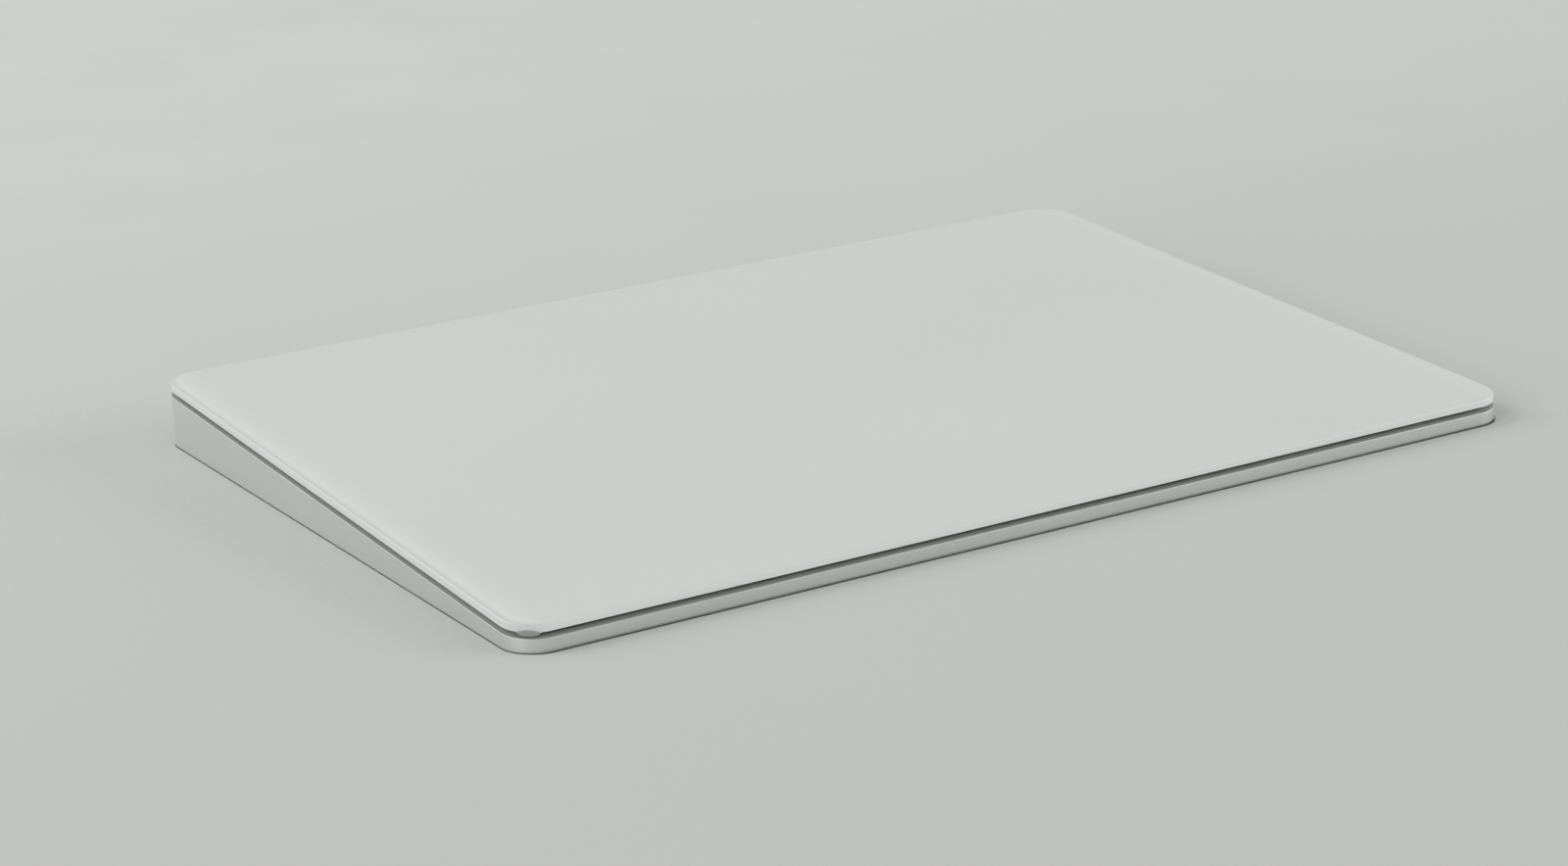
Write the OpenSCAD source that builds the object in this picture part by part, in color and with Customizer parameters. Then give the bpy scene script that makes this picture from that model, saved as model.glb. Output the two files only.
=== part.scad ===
// Wireless trackpad: a wedge-shaped aluminium case under a glass touch plate.
// The plate rides on four sprung leaves, so it can be pressed and shaken as one piece.
// Millimetres, +X to the right, +Y to the thick rear edge, +Z up.
// The origin lies on the table, under the middle of the case.

/* [Case] */
// Width of the case, side to side
body_w = 160; // [140:0.5:180]
// Depth of the case, front to rear
body_d = 114.9; // [105:0.1:130]
// Slope of the touch plate in degrees
tilt = 2.99; // [2.6:0.01:4]
// Radius of the four corners in plan
corner_r = 4.9; // [4:0.1:8]
// Radius of the lower outer edge
lower_edge_r = 0.95; // [0.3:0.05:1]
// Thickness of the side walls
case_wall = 1.6; // [1.2:0.1:2]
// Thickness of the floor
case_floor = 0.7; // [0.5:0.05:1.2]
// Clear height over the floor at the front edge, up to the support plate
front_room = 0.7; // [0.6:0.05:1.5]

/* [Underside] */
// Height of the feet below the case
foot_h = 0.6; // [0.4:0.05:1.5]
// Diameter of a foot
foot_d = 10; // [6:0.5:14]
// Depth of a foot's seat in the bottom cover
foot_seat = 0.3; // [0.2:0.05:0.4]
// Radius of a foot's lower edge
foot_edge_r = 0.3; // [0.1:0.05:0.35]
// Distance from a foot's centre to the sides of the case
foot_inset = 14; // [10:0.5:20]
// Thickness of the bottom cover
cover_t = 0.7; // [0.6:0.05:1]
// Width of the metal rim round the bottom cover
cover_rim = 3; // [2:0.1:4]
// Clearance round the bottom cover
cover_clear = 0.1; // [0.05:0.01:0.2]
// Thickness of the cover's adhesive tape
cover_tape_t = 0.1; // [0.05:0.01:0.2]
// Width of the cover's adhesive tape
cover_tape_w = 4; // [2:0.5:6]

/* [Touch plate] */
// Thickness of the glass
glass_t = 1.1; // [0.8:0.05:1.5]
// How far the glass stands back from the case walls
glass_inset = 0.05; // [0:0.05:0.3]
// Radius of the upper edge of the glass
glass_edge_r = 0.3; // [0.1:0.05:0.5]
// Reveal between the glass and the rim of the case
reveal = 0.8; // [0.6:0.05:1.5]
// Thickness of the adhesive film under the glass
bond_t = 0.1; // [0.05:0.01:0.2]
// Thickness of the touch sensor board
sensor_t = 0.4; // [0.2:0.05:0.6]
// Thickness of the support plate
plate_t = 0.6; // [0.4:0.05:1]
// Clearance from the support plate to the case walls
plate_clear = 0.7; // [0.5:0.05:1.5]
// Width of the touch controller chip
controller_w = 6; // [4:0.5:8]
// Thickness of the touch controller chip
controller_t = 0.4; // [0.2:0.05:0.5]
// Distance of the touch controller chip from the middle, to the left
controller_x = 30; // [20:1:50]
// Distance of the touch controller chip from the middle, to the front
controller_y = 25; // [20:1:40]
// Margin of the openings in the support plate
window_margin = 1; // [0.5:0.1:2]

/* [Suspension] */
// Width of a leaf's base and tip
leaf_w = 6; // [5:0.25:8]
// Thickness of a leaf
leaf_t = 0.4; // [0.3:0.02:0.5]
// Length of a leaf's beam
beam_l = 9; // [6:0.5:14]
// Width of a leaf's beam
beam_w = 3.4; // [2.5:0.1:5]
// Length of a leaf's tip
tip_l = 5.4; // [4:0.2:8]
// Distance from a leaf's base to the side of the support plate
leaf_edge_x = 4.2; // [3.5:0.1:8]
// Distance from a leaf's base to the front or rear of the support plate
leaf_edge_y = 6.3; // [5.5:0.1:10]
// Thickness of a gel pad
gel_t = 0.25; // [0.2:0.01:0.35]
// Width of the leaf's rim round a gel pad
gel_rim = 0.3; // [0.1:0.05:0.6]
// Radius of a leaf's clinch nut
nut_r = 1.5; // [1.2:0.05:2]
// Height of a leaf's clinch nut
nut_h = 0.3; // [0.2:0.02:0.4]
// Gap round a clinch nut in the support plate
nut_clear = 0.6; // [0.4:0.05:1]
// Length of a strain gauge
gauge_l = 5; // [3:0.25:6]
// Width of a strain gauge
gauge_w = 2.4; // [1.5:0.1:3]
// Thickness of a strain gauge
gauge_t = 0.08; // [0.05:0.01:0.12]
// Metal between a leaf and the head of its screw
leaf_web = 0.5; // [0.4:0.02:0.55]

/* [Screws] */
// Radius of a screw's shank
screw_r = 0.7; // [0.5:0.05:0.8]
// Radius of a screw's head
head_r = 1.25; // [1.1:0.05:1.4]
// Height of a screw's head
head_h = 0.4; // [0.3:0.02:0.5]
// Radius of the drive recess in a head
drive_r = 0.5; // [0.3:0.05:0.6]
// Depth of the drive recess in a head
drive_h = 0.2; // [0.1:0.02:0.25]
// Clearance of a shank in its thread
thread_clear = 0.03; // [0.02:0.01:0.05]
// Clearance of a shank in a board, and of a head in its seat
screw_clear = 0.15; // [0.1:0.01:0.2]
// Radius of a screw boss
boss_r = 1.8; // [1.5:0.1:2.2]
// Floor left under a screw's hole
hole_floor = 0.2; // [0.1:0.02:0.3]
// Room past a screw's tip
tip_room = 0.05; // [0.02:0.01:0.1]

/* [Haptic drive] */
// Clearance between the coils and the support plate
haptic_clear = 0.45; // [0.4:0.05:0.8]
// Depth of the bracket, the poles and the rails
haptic_d = 10; // [8:0.5:14]
// Length of the bracket
bracket_l = 60; // [58:0.5:70]
// Thickness of the bracket
bracket_t = 0.4; // [0.3:0.05:0.6]
// Least height of the seats under the bracket
bracket_seat = 0.15; // [0.1:0.05:0.5]
// Length of a seat under the bracket
seat_l = 6; // [5:0.25:7]
// Distance between the two screws on a seat
seat_pitch = 5; // [4:0.25:5.5]
// Length of a coil
coil_l = 14; // [10:0.5:16]
// Width of a coil
coil_d = 8.4; // [7:0.2:9]
// Height of a coil
coil_h = 1.5; // [1.2:0.05:2]
// Thickness of a coil's side
coil_side = 0.9; // [0.6:0.05:1.2]
// Thickness of a coil's top and underside
coil_wall = 0.4; // [0.3:0.02:0.5]
// Clearance of the core in its coil
core_clear = 0.06; // [0.03:0.01:0.1]
// Half of the distance between the two cores
core_half_gap = 2; // [1:0.25:4]
// Core that stands out of each end of its coil
core_end = 0.8; // [0.5:0.1:1.5]
// Thickness of a pole
pole_t = 1.7; // [1.2:0.1:2.5]
// Height of a pole
pole_h = 1.3; // [1.05:0.05:1.4]
// Air gap between a pole and its rail
air_gap = 0.4; // [0.35:0.01:0.6]
// Thickness of a rail
rail_t = 2; // [1.2:0.1:3]
// Height of a rail
rail_h = 1.35; // [1:0.05:1.5]
// Width of the haptic flat cable
haptic_flex_w = 4; // [3:0.25:6]

/* [Main board] */
// Width of the main board
board_w = 110; // [106:1:120]
// Depth of the main board
board_d = 12; // [11:0.5:14]
// Thickness of the main board
board_t = 0.8; // [0.6:0.05:1]
// Height of the board above the floor
board_standoff = 0.5; // [0.3:0.05:0.7]
// Radius of the corners of a board
board_corner_r = 1; // [0.5:0.1:1.5]
// Distance from a board screw to the edges of its board
board_screw_inset = 2.4; // [2:0.1:3]
// Gap between the haptic bracket and the main board
board_gap = 5; // [3:0.5:8]
// Height of a connector
connector_h = 0.8; // [0.6:0.05:1]
// Width of the shield can
shield_w = 24; // [22:0.5:26]
// Depth of the shield can
shield_d = 9; // [8:0.25:10]
// Height of the shield can
shield_h = 1.2; // [1.15:0.05:1.5]
// Wall of the shield can
shield_wall = 0.15; // [0.1:0.01:0.2]
// Thickness of a flat cable
flex_t = 0.12; // [0.08:0.01:0.15]
// Width of a flat cable
flex_w = 5; // [4:0.25:6]
// Height of the touch cable's slack loop
loop_h = 1; // [0.7:0.05:1.2]
// Straight run of the touch cable past its connector
loop_run = 0.5; // [0.2:0.1:2]

/* [Battery] */
// Width of the cell
battery_w = 104; // [90:1:110]
// Clearance over the cell
battery_clear = 0.5; // [0.4:0.05:1]
// Gap before and behind the cell
battery_gap = 1.8; // [1:0.1:4]
// Radius of the cell's corners
battery_corner_r = 2; // [1.5:0.1:4]
// Radius of the cell's upper and lower edges
battery_edge_r = 0.8; // [0.4:0.05:1.2]
// Thickness of the cell's adhesive tape
battery_tape_t = 0.15; // [0.1:0.01:0.3]
// Margin of the cell's tape
battery_tape_inset = 4; // [2:0.5:10]
// Width of the protection board
guard_w = 3; // [2.5:0.1:3.5]
// Length of the protection board
guard_l = 18; // [12:0.5:24]
// Gap between the cell and its protection board
guard_gap = 0.2; // [0.1:0.05:0.5]

/* [Antenna] */
// Width of the antenna carrier
antenna_w = 14; // [11:0.5:16]
// Length of the antenna carrier
antenna_l = 18; // [14:0.5:24]
// Height of the antenna carrier
antenna_h = 2.4; // [2.1:0.05:3]
// Gap between the carrier and the right wall
antenna_gap = 2; // [1:0.1:4]
// Shelf of floor under the carrier's rim
antenna_shelf = 2; // [1:0.1:3]
// Thickness of the antenna strip
strip_t = 0.1; // [0.05:0.01:0.2]
// Width of the antenna strip
strip_w = 1.4; // [0.8:0.1:1.8]
// Width and thickness of the antenna lead
lead_w = 0.6; // [0.4:0.02:0.68]
// Bend radius of the antenna lead
lead_bend = 2; // [1.5:0.1:4]
// Radius of the plug on the antenna lead
lead_plug_r = 1; // [0.8:0.05:1.2]

/* [Charging socket] */
// Width of the socket's shell
shell_w = 8.94; // [8.9:0.01:9.2]
// Height of the socket's shell
shell_h = 3.16; // [3.1:0.01:3.4]
// Wall of the socket's shell
shell_wall = 0.3; // [0.2:0.01:0.35]
// Length of the socket's shell
shell_l = 7.4; // [7:0.1:8]
// How far the socket's mouth lies behind the rear face
mouth_depth = 0.25; // [0:0.05:0.5]
// Clearance of the shell in the rear wall
shell_clear = 0.1; // [0.05:0.01:0.2]
// Width of the tongue
tongue_w = 6.69; // [6.5:0.01:6.8]
// Thickness of the tongue
tongue_t = 0.7; // [0.6:0.01:0.8]
// Length of the tongue
tongue_l = 4.45; // [4:0.05:4.7]
// Length of the plastic block behind the tongue
tongue_block_l = 2.4; // [2:0.1:2.6]
// Contacts on each face of the tongue
contact_count = 12; // [2:1:12]
// Distance from contact to contact
contact_pitch = 0.5; // [0.45:0.01:0.52]
// Width of a contact
contact_w = 0.25; // [0.2:0.01:0.3]
// Length of a contact
contact_l = 3.6; // [3:0.1:3.8]
// Thickness of a contact
contact_t = 0.06; // [0.04:0.01:0.1]

/* [Rear board] */
// Depth of the rear board
io_d = 8; // [7.5:0.25:10]
// Gap between the rear board and the rear wall
io_gap = 1; // [0.8:0.05:1.5]
// Thickness of the rear board
io_t = 0.8; // [0.6:0.05:1]
// Height of the rear board above the floor
io_standoff = 0.4; // [0.3:0.05:0.6]
// Reach of the rear board to the left of the socket
io_left = 20; // [19:0.5:26]
// Reach of the rear board to the right of the switch
io_right = 8; // [7:0.5:12]

/* [Switch] */
// Distance of the switch from the middle of the rear wall, to the right
switch_x = 46; // [36:1:60]
// Travel of the knob
switch_travel = 2.2; // [1.5:0.1:3]
// Length of the knob
knob_l = 5.4; // [4:0.1:7]
// Height of the knob's slot
slot_h = 2.6; // [2.2:0.1:3]
// Clearance of the knob in its slot
knob_clear = 0.12; // [0.1:0.01:0.2]
// How far the knob's face lies behind the rear face
knob_depth = 0.1; // [0:0.05:0.4]
// Ridges on the knob
ridge_count = 5; // [2:1:8]
// Distance from groove to groove on the knob
ridge_pitch = 0.6; // [0.4:0.05:0.8]
// Width and depth of a groove on the knob
groove = 0.25; // [0.1:0.05:0.3]
// Thickness of the knob's flange
flange_t = 0.4; // [0.3:0.02:0.45]
// Gap between the flange and the rear wall
flange_gap = 0.2; // [0.15:0.01:0.25]
// Lap of the flange behind the edges of the slot
flange_lap = 0.6; // [0.4:0.05:0.8]
// Thickness of the green indicator film
film_t = 0.08; // [0.05:0.01:0.1]
// Width and height of the switch's actuator
actuator_w = 1.5; // [1.2:0.1:1.8]
// Clearance of the actuator
actuator_clear = 0.12; // [0.08:0.01:0.2]
// Thickness of the fork's prongs
prong_t = 0.7; // [0.5:0.05:1]
// Length of the fork's prongs
prong_l = 0.45; // [0.3:0.02:0.5]
// Depth of the switch body
switch_d = 3; // [2.5:0.1:4]
// Gap between the switch body and the edge of its board
switch_setback = 0.2; // [0.15:0.05:0.5]
// Wall of the switch body
switch_wall = 0.8; // [0.5:0.05:1.2]

/* [Hidden] */
$fn = 64;

// Levels above the table
case_z = foot_h;
floor_under_z = case_z + cover_t + cover_tape_t;
floor_z = floor_under_z + case_floor;

// Levels along the plate's normal, from the top of the glass downwards
glass_w = -glass_t;
bond_w = glass_w - bond_t;
sensor_w = bond_w - sensor_t;
plate_w = sensor_w - plate_t;
leaf_top_w = plate_w - gel_t;
leaf_under_w = leaf_top_w - leaf_t;
rim_w = glass_w - reveal;

// Overall heights and the sloping frame
rise = tan(tilt);
front_h = floor_z + front_room - plate_w / cos(tilt);
rear_h = front_h + body_d * rise;
slope_z = front_h + body_d / 2 * rise;
slope_d = body_d / cos(tilt);

// Height between the floor and the support plate at a place y, and the place with a given height
function room(y) = front_room + (y + body_d / 2) * rise;
function y_with_room(height) = (height - front_room) / rise - body_d / 2;

// Inside of the case, the bottom cover and the plates under the glass
inner_w = body_w - 2 * case_wall;
inner_d = body_d - 2 * case_wall;
inner_r = corner_r - case_wall;
wall_y = inner_d / 2;
cover_w = body_w - 2 * (cover_rim + cover_clear);
cover_d = body_d - 2 * (cover_rim + cover_clear);
cover_r = max(corner_r - cover_rim - cover_clear, board_corner_r);
plate_inset = case_wall + plate_clear;
plate_r = corner_r - plate_inset;

// Suspension
leaf_x = body_w / 2 - plate_inset - leaf_edge_x;
leaf_v = slope_d / 2 - plate_inset - leaf_edge_y;
beam_x = -(leaf_w + beam_l) / 2;
tip_x = -(leaf_w / 2 + beam_l + tip_l / 2);
leaf_head_w = leaf_under_w - leaf_web;

// Haptic drive, placed where the wedge is just deep enough for it
haptic_need = haptic_clear + coil_h + bracket_t;
haptic_y = y_with_room(haptic_need + bracket_seat) + haptic_d / 2;
haptic_v = haptic_y / cos(tilt);
coil_top_w = plate_w - haptic_clear;
bracket_top_w = coil_top_w - coil_h;
bracket_w = bracket_top_w - bracket_t;
coil_x = core_half_gap + core_end;
pole_x = coil_x + coil_l + core_end;
rail_x = pole_x + pole_t + air_gap;
seat_x = (bracket_l - seat_l) / 2;
bar_d = coil_d - 2 * (coil_side + core_clear);
bar_h = coil_h - 2 * (coil_wall + core_clear);
haptic_hole_l = bracket_t + bracket_seat + case_floor - hole_floor + (haptic_d - seat_pitch) / 2 * rise;

// Main board, behind the haptic drive
board_y0 = haptic_y + haptic_d / 2 + board_gap;
board_y = board_y0 + board_d / 2;
board_z = floor_z + board_standoff;
board_top = board_z + board_t;
flex_z = board_top + connector_h;
board_screw_x = board_w / 2 - board_screw_inset;
board_screw_y = board_d / 2 - board_screw_inset;

// Chips and connectors: place along the main board, width, depth and height
processor = [-35, 7, 7, 0.9];
radio = [-23, 5, 5, 0.8];
charger = [-10, 5, 5, 0.8];
driver = [10, 6, 4, 0.8];
amplifier = [31, 3.6, 3.6, 0.7];
shield_x = -29;
io_connector_x = -47;
touch_x = 22;
touch_plug_w = 7;
battery_connector_x = 40;
antenna_plug_x = 47;
haptic_connector_d = 3;

// Battery and its protection board, between the main board and the rear board
guard_y0 = board_y0 + board_d + battery_gap;
battery_y0 = guard_y0 + guard_w + guard_gap;
battery_y1 = wall_y - io_gap - io_d - battery_gap;
battery_d = battery_y1 - battery_y0;
battery_y = (battery_y0 + battery_y1) / 2;
battery_z = floor_z + battery_tape_t;
battery_t = room(battery_y0) - battery_clear - battery_tape_t;

// Antenna, beside the battery
antenna_x = inner_w / 2 - antenna_gap - antenna_w / 2;
antenna_y0 = battery_y0 + battery_gap;
strip_rows = 3;
strip_pitch = (antenna_l - 2 * antenna_shelf - strip_w) / (strip_rows - 1);

// Rear board, socket and switch
io_y1 = wall_y - io_gap;
io_y0 = io_y1 - io_d;
io_z = floor_z + io_standoff;
io_top = io_z + io_t;
io_x1 = switch_x + io_right;
io_screw_y = io_y0 + board_screw_inset;
io_plug_x = -12;
io_plug_y = io_y0 + flex_w / 2 + board_corner_r;
io_mid_screw_x = 12;
io_screw_x = [board_screw_inset - io_left, io_mid_screw_x, io_x1 - board_screw_inset];
lane_x = -(battery_w / 2 + battery_gap + flex_w / 2);
port_z = io_top + shell_h / 2;
mouth_y = body_d / 2 - mouth_depth;
shell_end_y = mouth_y - shell_l;
bay_w = shell_w - 2 * shell_wall;
bay_h = shell_h - 2 * shell_wall;
tongue_y = shell_end_y + tongue_block_l;
knob_h = slot_h - 2 * knob_clear;
slot_l = knob_l + switch_travel + 2 * knob_clear;
knob_x = switch_x + switch_travel / 2;
flange_y = wall_y - flange_gap - flange_t;
wing_l = switch_travel + 2 * knob_clear + flange_lap;
switch_y1 = io_y1 - switch_setback;
switch_bay_d = switch_d - switch_wall;
switch_bay_l = actuator_w + switch_travel + 2 * actuator_clear;
switch_l = switch_bay_l + 4 * switch_wall;

// Rectangle with round corners, centred
module round_rect(w, d, r) {
    square([w - 2 * r, d], center = true);
    square([w, d - 2 * r], center = true);
    for (sx = [-1, 1], sy = [-1, 1])
        translate([sx * (w / 2 - r), sy * (d / 2 - r)]) circle(r);
}

// Slot with round ends, centred
module stadium(l, h) {
    square([l - h, h], center = true);
    for (s = [-1, 1]) translate([s * (l - h) / 2, 0]) circle(h / 2);
}

// Block with round corners whose edge has the child's profile: outwards along X, up along Y
module edged_block(w, d, r, h) {
    translate([r - w / 2, r - d / 2, 0]) cube([w - 2 * r, d - 2 * r, h]);
    for (k = [0 : 3]) {
        half = k % 2 == 0 ? w / 2 : d / 2;
        length = k % 2 == 0 ? d - 2 * r : w - 2 * r;
        sx = k == 0 || k == 3 ? 1 : -1;
        sy = k < 2 ? 1 : -1;
        rotate([0, 0, 90 * k]) translate([half - r, length / 2, 0]) rotate([90, 0, 0])
            linear_extrude(length) children();
        translate([sx * (w / 2 - r), sy * (d / 2 - r), 0]) rotate([0, 0, 90 * k])
            rotate_extrude(angle = 90) children();
    }
}

// Child in the sloping frame, whose zero level is the top of the glass
module on_slope() translate([0, 0, slope_z]) rotate([tilt, 0, 0]) children();

// Everything above a level of the sloping frame
module above_slope(w)
    on_slope() translate([-body_w, -body_d, w]) cube([2 * body_w, 2 * body_d, 2 * rear_h]);

// Block that stands on a level z and is cut off at a level of the sloping frame
module up_to_slope(size, at, z, w) {
    difference() {
        translate([at[0] - size[0] / 2, at[1] - size[1] / 2, z]) cube([size[0], size[1], 2 * rear_h]);
        above_slope(w);
    }
}

// Child at the base of one leaf, with -X towards the middle: side and end are 1 or -1
module at_leaf(side, end)
    on_slope() translate([side * leaf_x, end * leaf_v, 0]) mirror([side > 0 ? 0 : 1, 0, 0]) children();

// Child at each of the four leaves
module at_leaves() for (side = [-1, 1], end = [-1, 1]) at_leaf(side, end) children();

// Screw whose head stands on zero level and whose shank goes down
module screw(length) {
    difference() {
        cylinder(h = head_h, r = head_r);
        translate([0, 0, head_h - drive_h]) cylinder(h = 2 * drive_h, r = drive_r, $fn = 6);
    }
    translate([0, 0, -length]) cylinder(h = length, r = screw_r);
}

// Child at each screw of the main board
module at_board_screws()
    for (sx = [-1, 1], sy = [-1, 1])
        translate([sx * board_screw_x, board_y + sy * board_screw_y, 0]) children();

// Child at each screw of the rear board
module at_io_screws() for (x = io_screw_x) translate([x, io_screw_y, 0]) children();

// Child at each screw of the haptic bracket
module at_haptic_screws()
    for (sx = [-1, 1], sy = [-1, 1])
        on_slope() translate([sx * seat_x, haptic_v + sy * seat_pitch / 2, bracket_top_w]) children();

// Hole for a screw's thread, from a level z down into the floor
module thread_hole(z) {
    bottom = floor_under_z + hole_floor;
    translate([0, 0, bottom]) cylinder(h = z - bottom + tip_room, r = screw_r + thread_clear);
}

// Chip on the main board: place along it, width, depth and height
module chip(c) translate([c[0] - c[1] / 2, board_y - c[2] / 2, board_top]) cube([c[1], c[2], c[3]]);

// Connector on the main board, up to the level of the flat cables
module connector(x, w) translate([x - w / 2, board_y - flex_w / 2, board_top]) cube([w, flex_w, connector_h]);

// Outline that runs through the rear wall, at a place x
module in_rear_wall(x, y, length)
    translate([x, y, port_z]) rotate([90, 0, 0]) linear_extrude(length) children();

// Edge of the case: an upright wall with a round lower edge
module case_edge() {
    translate([0, lower_edge_r]) square([corner_r, rear_h]);
    square([corner_r - lower_edge_r, lower_edge_r]);
    translate([corner_r - lower_edge_r, lower_edge_r]) circle(lower_edge_r);
}

// Tub of the case before its seats and holes
module case_tub() {
    difference() {
        translate([0, 0, case_z]) edged_block(body_w, body_d, corner_r, lower_edge_r + rear_h) case_edge();
        above_slope(rim_w);
        translate([0, 0, floor_z]) linear_extrude(2 * rear_h) round_rect(inner_w, inner_d, inner_r);
    }
}

// Seats that rise from the floor
module case_seats() {
    root_z = floor_z - case_floor / 2;
    for (side = [-1, 1], end = [-1, 1])
        up_to_slope([leaf_w, leaf_w], [side * leaf_x, end * leaf_v * cos(tilt)], root_z, leaf_under_w);
    for (side = [-1, 1])
        up_to_slope([seat_l, haptic_d], [side * seat_x, haptic_y], root_z, bracket_w);
    at_board_screws() translate([0, 0, root_z]) cylinder(h = board_z - root_z, r = boss_r);
    at_io_screws() translate([0, 0, root_z]) cylinder(h = io_z - root_z, r = boss_r);
}

// Holes for the screws, the antenna, the socket and the switch
module case_holes() {
    at_leaves() {
        translate([0, 0, leaf_head_w - rear_h]) cylinder(h = rear_h, r = head_r + screw_clear);
        translate([0, 0, leaf_head_w - tip_room]) cylinder(h = 2 * leaf_web, r = screw_r + screw_clear);
    }
    at_haptic_screws() translate([0, 0, -haptic_hole_l]) cylinder(h = rear_h, r = screw_r + thread_clear);
    at_board_screws() thread_hole(board_z);
    at_io_screws() thread_hole(io_z);
    translate([antenna_x, antenna_y0 + antenna_l / 2, floor_under_z - case_floor])
        linear_extrude(3 * case_floor)
            square([antenna_w - 2 * antenna_shelf, antenna_l - 2 * antenna_shelf], center = true);
    in_rear_wall(0, body_d, body_d - wall_y + case_wall)
        stadium(shell_w + 2 * shell_clear, shell_h + 2 * shell_clear);
    in_rear_wall(switch_x, body_d, body_d - wall_y + case_wall) stadium(slot_l, slot_h);
}

module wedge_case() {
    color("#b9bbbd") difference() {
        union() {
            case_tub();
            case_seats();
        }
        translate([0, 0, case_z - lower_edge_r]) linear_extrude(lower_edge_r + cover_t + cover_tape_t)
            round_rect(cover_w + 2 * cover_clear, cover_d + 2 * cover_clear, cover_r + cover_clear);
        case_holes();
    }
}

// Child at one foot: side and end are 1 or -1
module at_foot(side, end)
    translate([side * (body_w / 2 - foot_inset), end * (body_d / 2 - foot_inset), 0]) children();

module bottom_cover() {
    color("#e4e4e2") difference() {
        translate([0, 0, case_z]) linear_extrude(cover_t) round_rect(cover_w, cover_d, cover_r);
        for (side = [-1, 1], end = [-1, 1]) at_foot(side, end)
            translate([0, 0, case_z - foot_seat])
                cylinder(h = 2 * foot_seat, r = foot_d / 2 + cover_clear);
    }
}

module cover_adhesive() {
    color("#d8d4c4") translate([0, 0, case_z + cover_t]) linear_extrude(cover_tape_t) difference() {
        round_rect(cover_w, cover_d, cover_r);
        square([cover_w - 2 * cover_tape_w, cover_d - 2 * cover_tape_w], center = true);
    }
}

module foot(side, end) {
    r = foot_d / 2;
    color("#dcdcda") at_foot(side, end) rotate_extrude() {
        translate([0, foot_edge_r]) square([r, foot_h + foot_seat - foot_edge_r]);
        square([r - foot_edge_r, foot_edge_r]);
        intersection() {
            translate([r - foot_edge_r, foot_edge_r]) circle(foot_edge_r);
            translate([r - foot_edge_r, 0]) square(foot_edge_r);
        }
    }
}

// Edge of the glass: an upright side with a round upper edge
module glass_edge() {
    r = corner_r - glass_inset;
    square([r, glass_t - glass_edge_r]);
    square([r - glass_edge_r, glass_t]);
    translate([r - glass_edge_r, glass_t - glass_edge_r]) circle(glass_edge_r);
}

module glass_plate() {
    color("#f2f3f1") on_slope() translate([0, 0, glass_w])
        edged_block(body_w - 2 * glass_inset, slope_d - 2 * glass_inset, corner_r - glass_inset, glass_t)
            glass_edge();
}

// Sheet under the glass, from a level up
module under_glass(w, t)
    on_slope() translate([0, 0, w]) linear_extrude(t)
        round_rect(body_w - 2 * plate_inset, slope_d - 2 * plate_inset, plate_r);

module glass_adhesive() color("#cfd8dc") under_glass(bond_w, bond_t);

module touch_sensor_board() color("#1f4a3a") under_glass(sensor_w, sensor_t);

module support_plate() {
    window = controller_w + 2 * window_margin;
    plug_w = touch_plug_w + 2 * window_margin;
    plug_d = flex_w + 2 * window_margin;
    color("#5d6063") difference() {
        under_glass(plate_w, plate_t);
        at_leaves() translate([0, 0, plate_w - plate_t]) cylinder(h = 3 * plate_t, r = nut_r + nut_clear);
        on_slope() translate([-controller_x, -controller_y, plate_w - plate_t])
            linear_extrude(3 * plate_t) square(window, center = true);
        translate([touch_x, board_y, 0]) linear_extrude(2 * rear_h) square([plug_w, plug_d], center = true);
    }
}

module touch_controller_chip() {
    color("#222428") on_slope() translate([-controller_x, -controller_y, sensor_w - controller_t])
        linear_extrude(controller_t) square(controller_w, center = true);
}

module touch_plug()
    color("#e6dfc8") up_to_slope([touch_plug_w, flex_w], [touch_x, board_y], flex_z + loop_h, sensor_w);

// Slack loop of flat cable: out along X, round and back, drawn from its bend's middle line
module flex_loop(run) {
    r = loop_h / 2;
    translate([-run, 0]) square([run, flex_t]);
    translate([-run, loop_h - flex_t]) square([run, flex_t]);
    intersection() {
        difference() {
            translate([0, r]) circle(r);
            translate([0, r]) circle(r - flex_t);
        }
        square([r, loop_h]);
    }
}

module touch_flex() {
    color("#c98a2b") translate([touch_x + touch_plug_w / 2 + loop_run, board_y + flex_w / 2, flex_z])
        rotate([90, 0, 0]) linear_extrude(flex_w) flex_loop(touch_plug_w + loop_run);
}

module flexure(side, end) {
    overlap = leaf_w / 4;
    color("#a8abad") at_leaf(side, end) difference() {
        union() {
            translate([0, 0, leaf_under_w]) linear_extrude(leaf_t) {
                square(leaf_w, center = true);
                translate([beam_x, 0]) square([beam_l + 2 * overlap, beam_w], center = true);
                translate([tip_x, 0]) square([tip_l, leaf_w], center = true);
            }
            translate([0, 0, leaf_top_w - leaf_t / 2]) cylinder(h = leaf_t / 2 + nut_h, r = nut_r);
        }
        translate([0, 0, leaf_under_w - leaf_t]) cylinder(h = 3 * leaf_t + nut_h, r = screw_r + thread_clear);
    }
}

module strain_gauges() {
    color("#b5653a") at_leaves() translate([beam_x, 0, leaf_top_w])
        linear_extrude(gauge_t) square([gauge_l, gauge_w], center = true);
}

module gel_pads() {
    color("#9fb4c4") at_leaves() translate([tip_x, 0, leaf_top_w])
        linear_extrude(gel_t) square([tip_l - 2 * gel_rim, leaf_w - 2 * gel_rim], center = true);
}

module flexure_screws() {
    length = leaf_web + leaf_t + nut_h - tip_room;
    color("#8d9094") at_leaves() translate([0, 0, leaf_head_w]) mirror([0, 0, 1]) screw(length);
}

module haptic_bracket() {
    color("#8f9296") difference() {
        on_slope() translate([0, haptic_v, bracket_w])
            linear_extrude(bracket_t) round_rect(bracket_l, haptic_d, board_corner_r);
        at_haptic_screws() translate([0, 0, -2 * bracket_t])
            cylinder(h = 3 * bracket_t, r = screw_r + screw_clear);
    }
}

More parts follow.
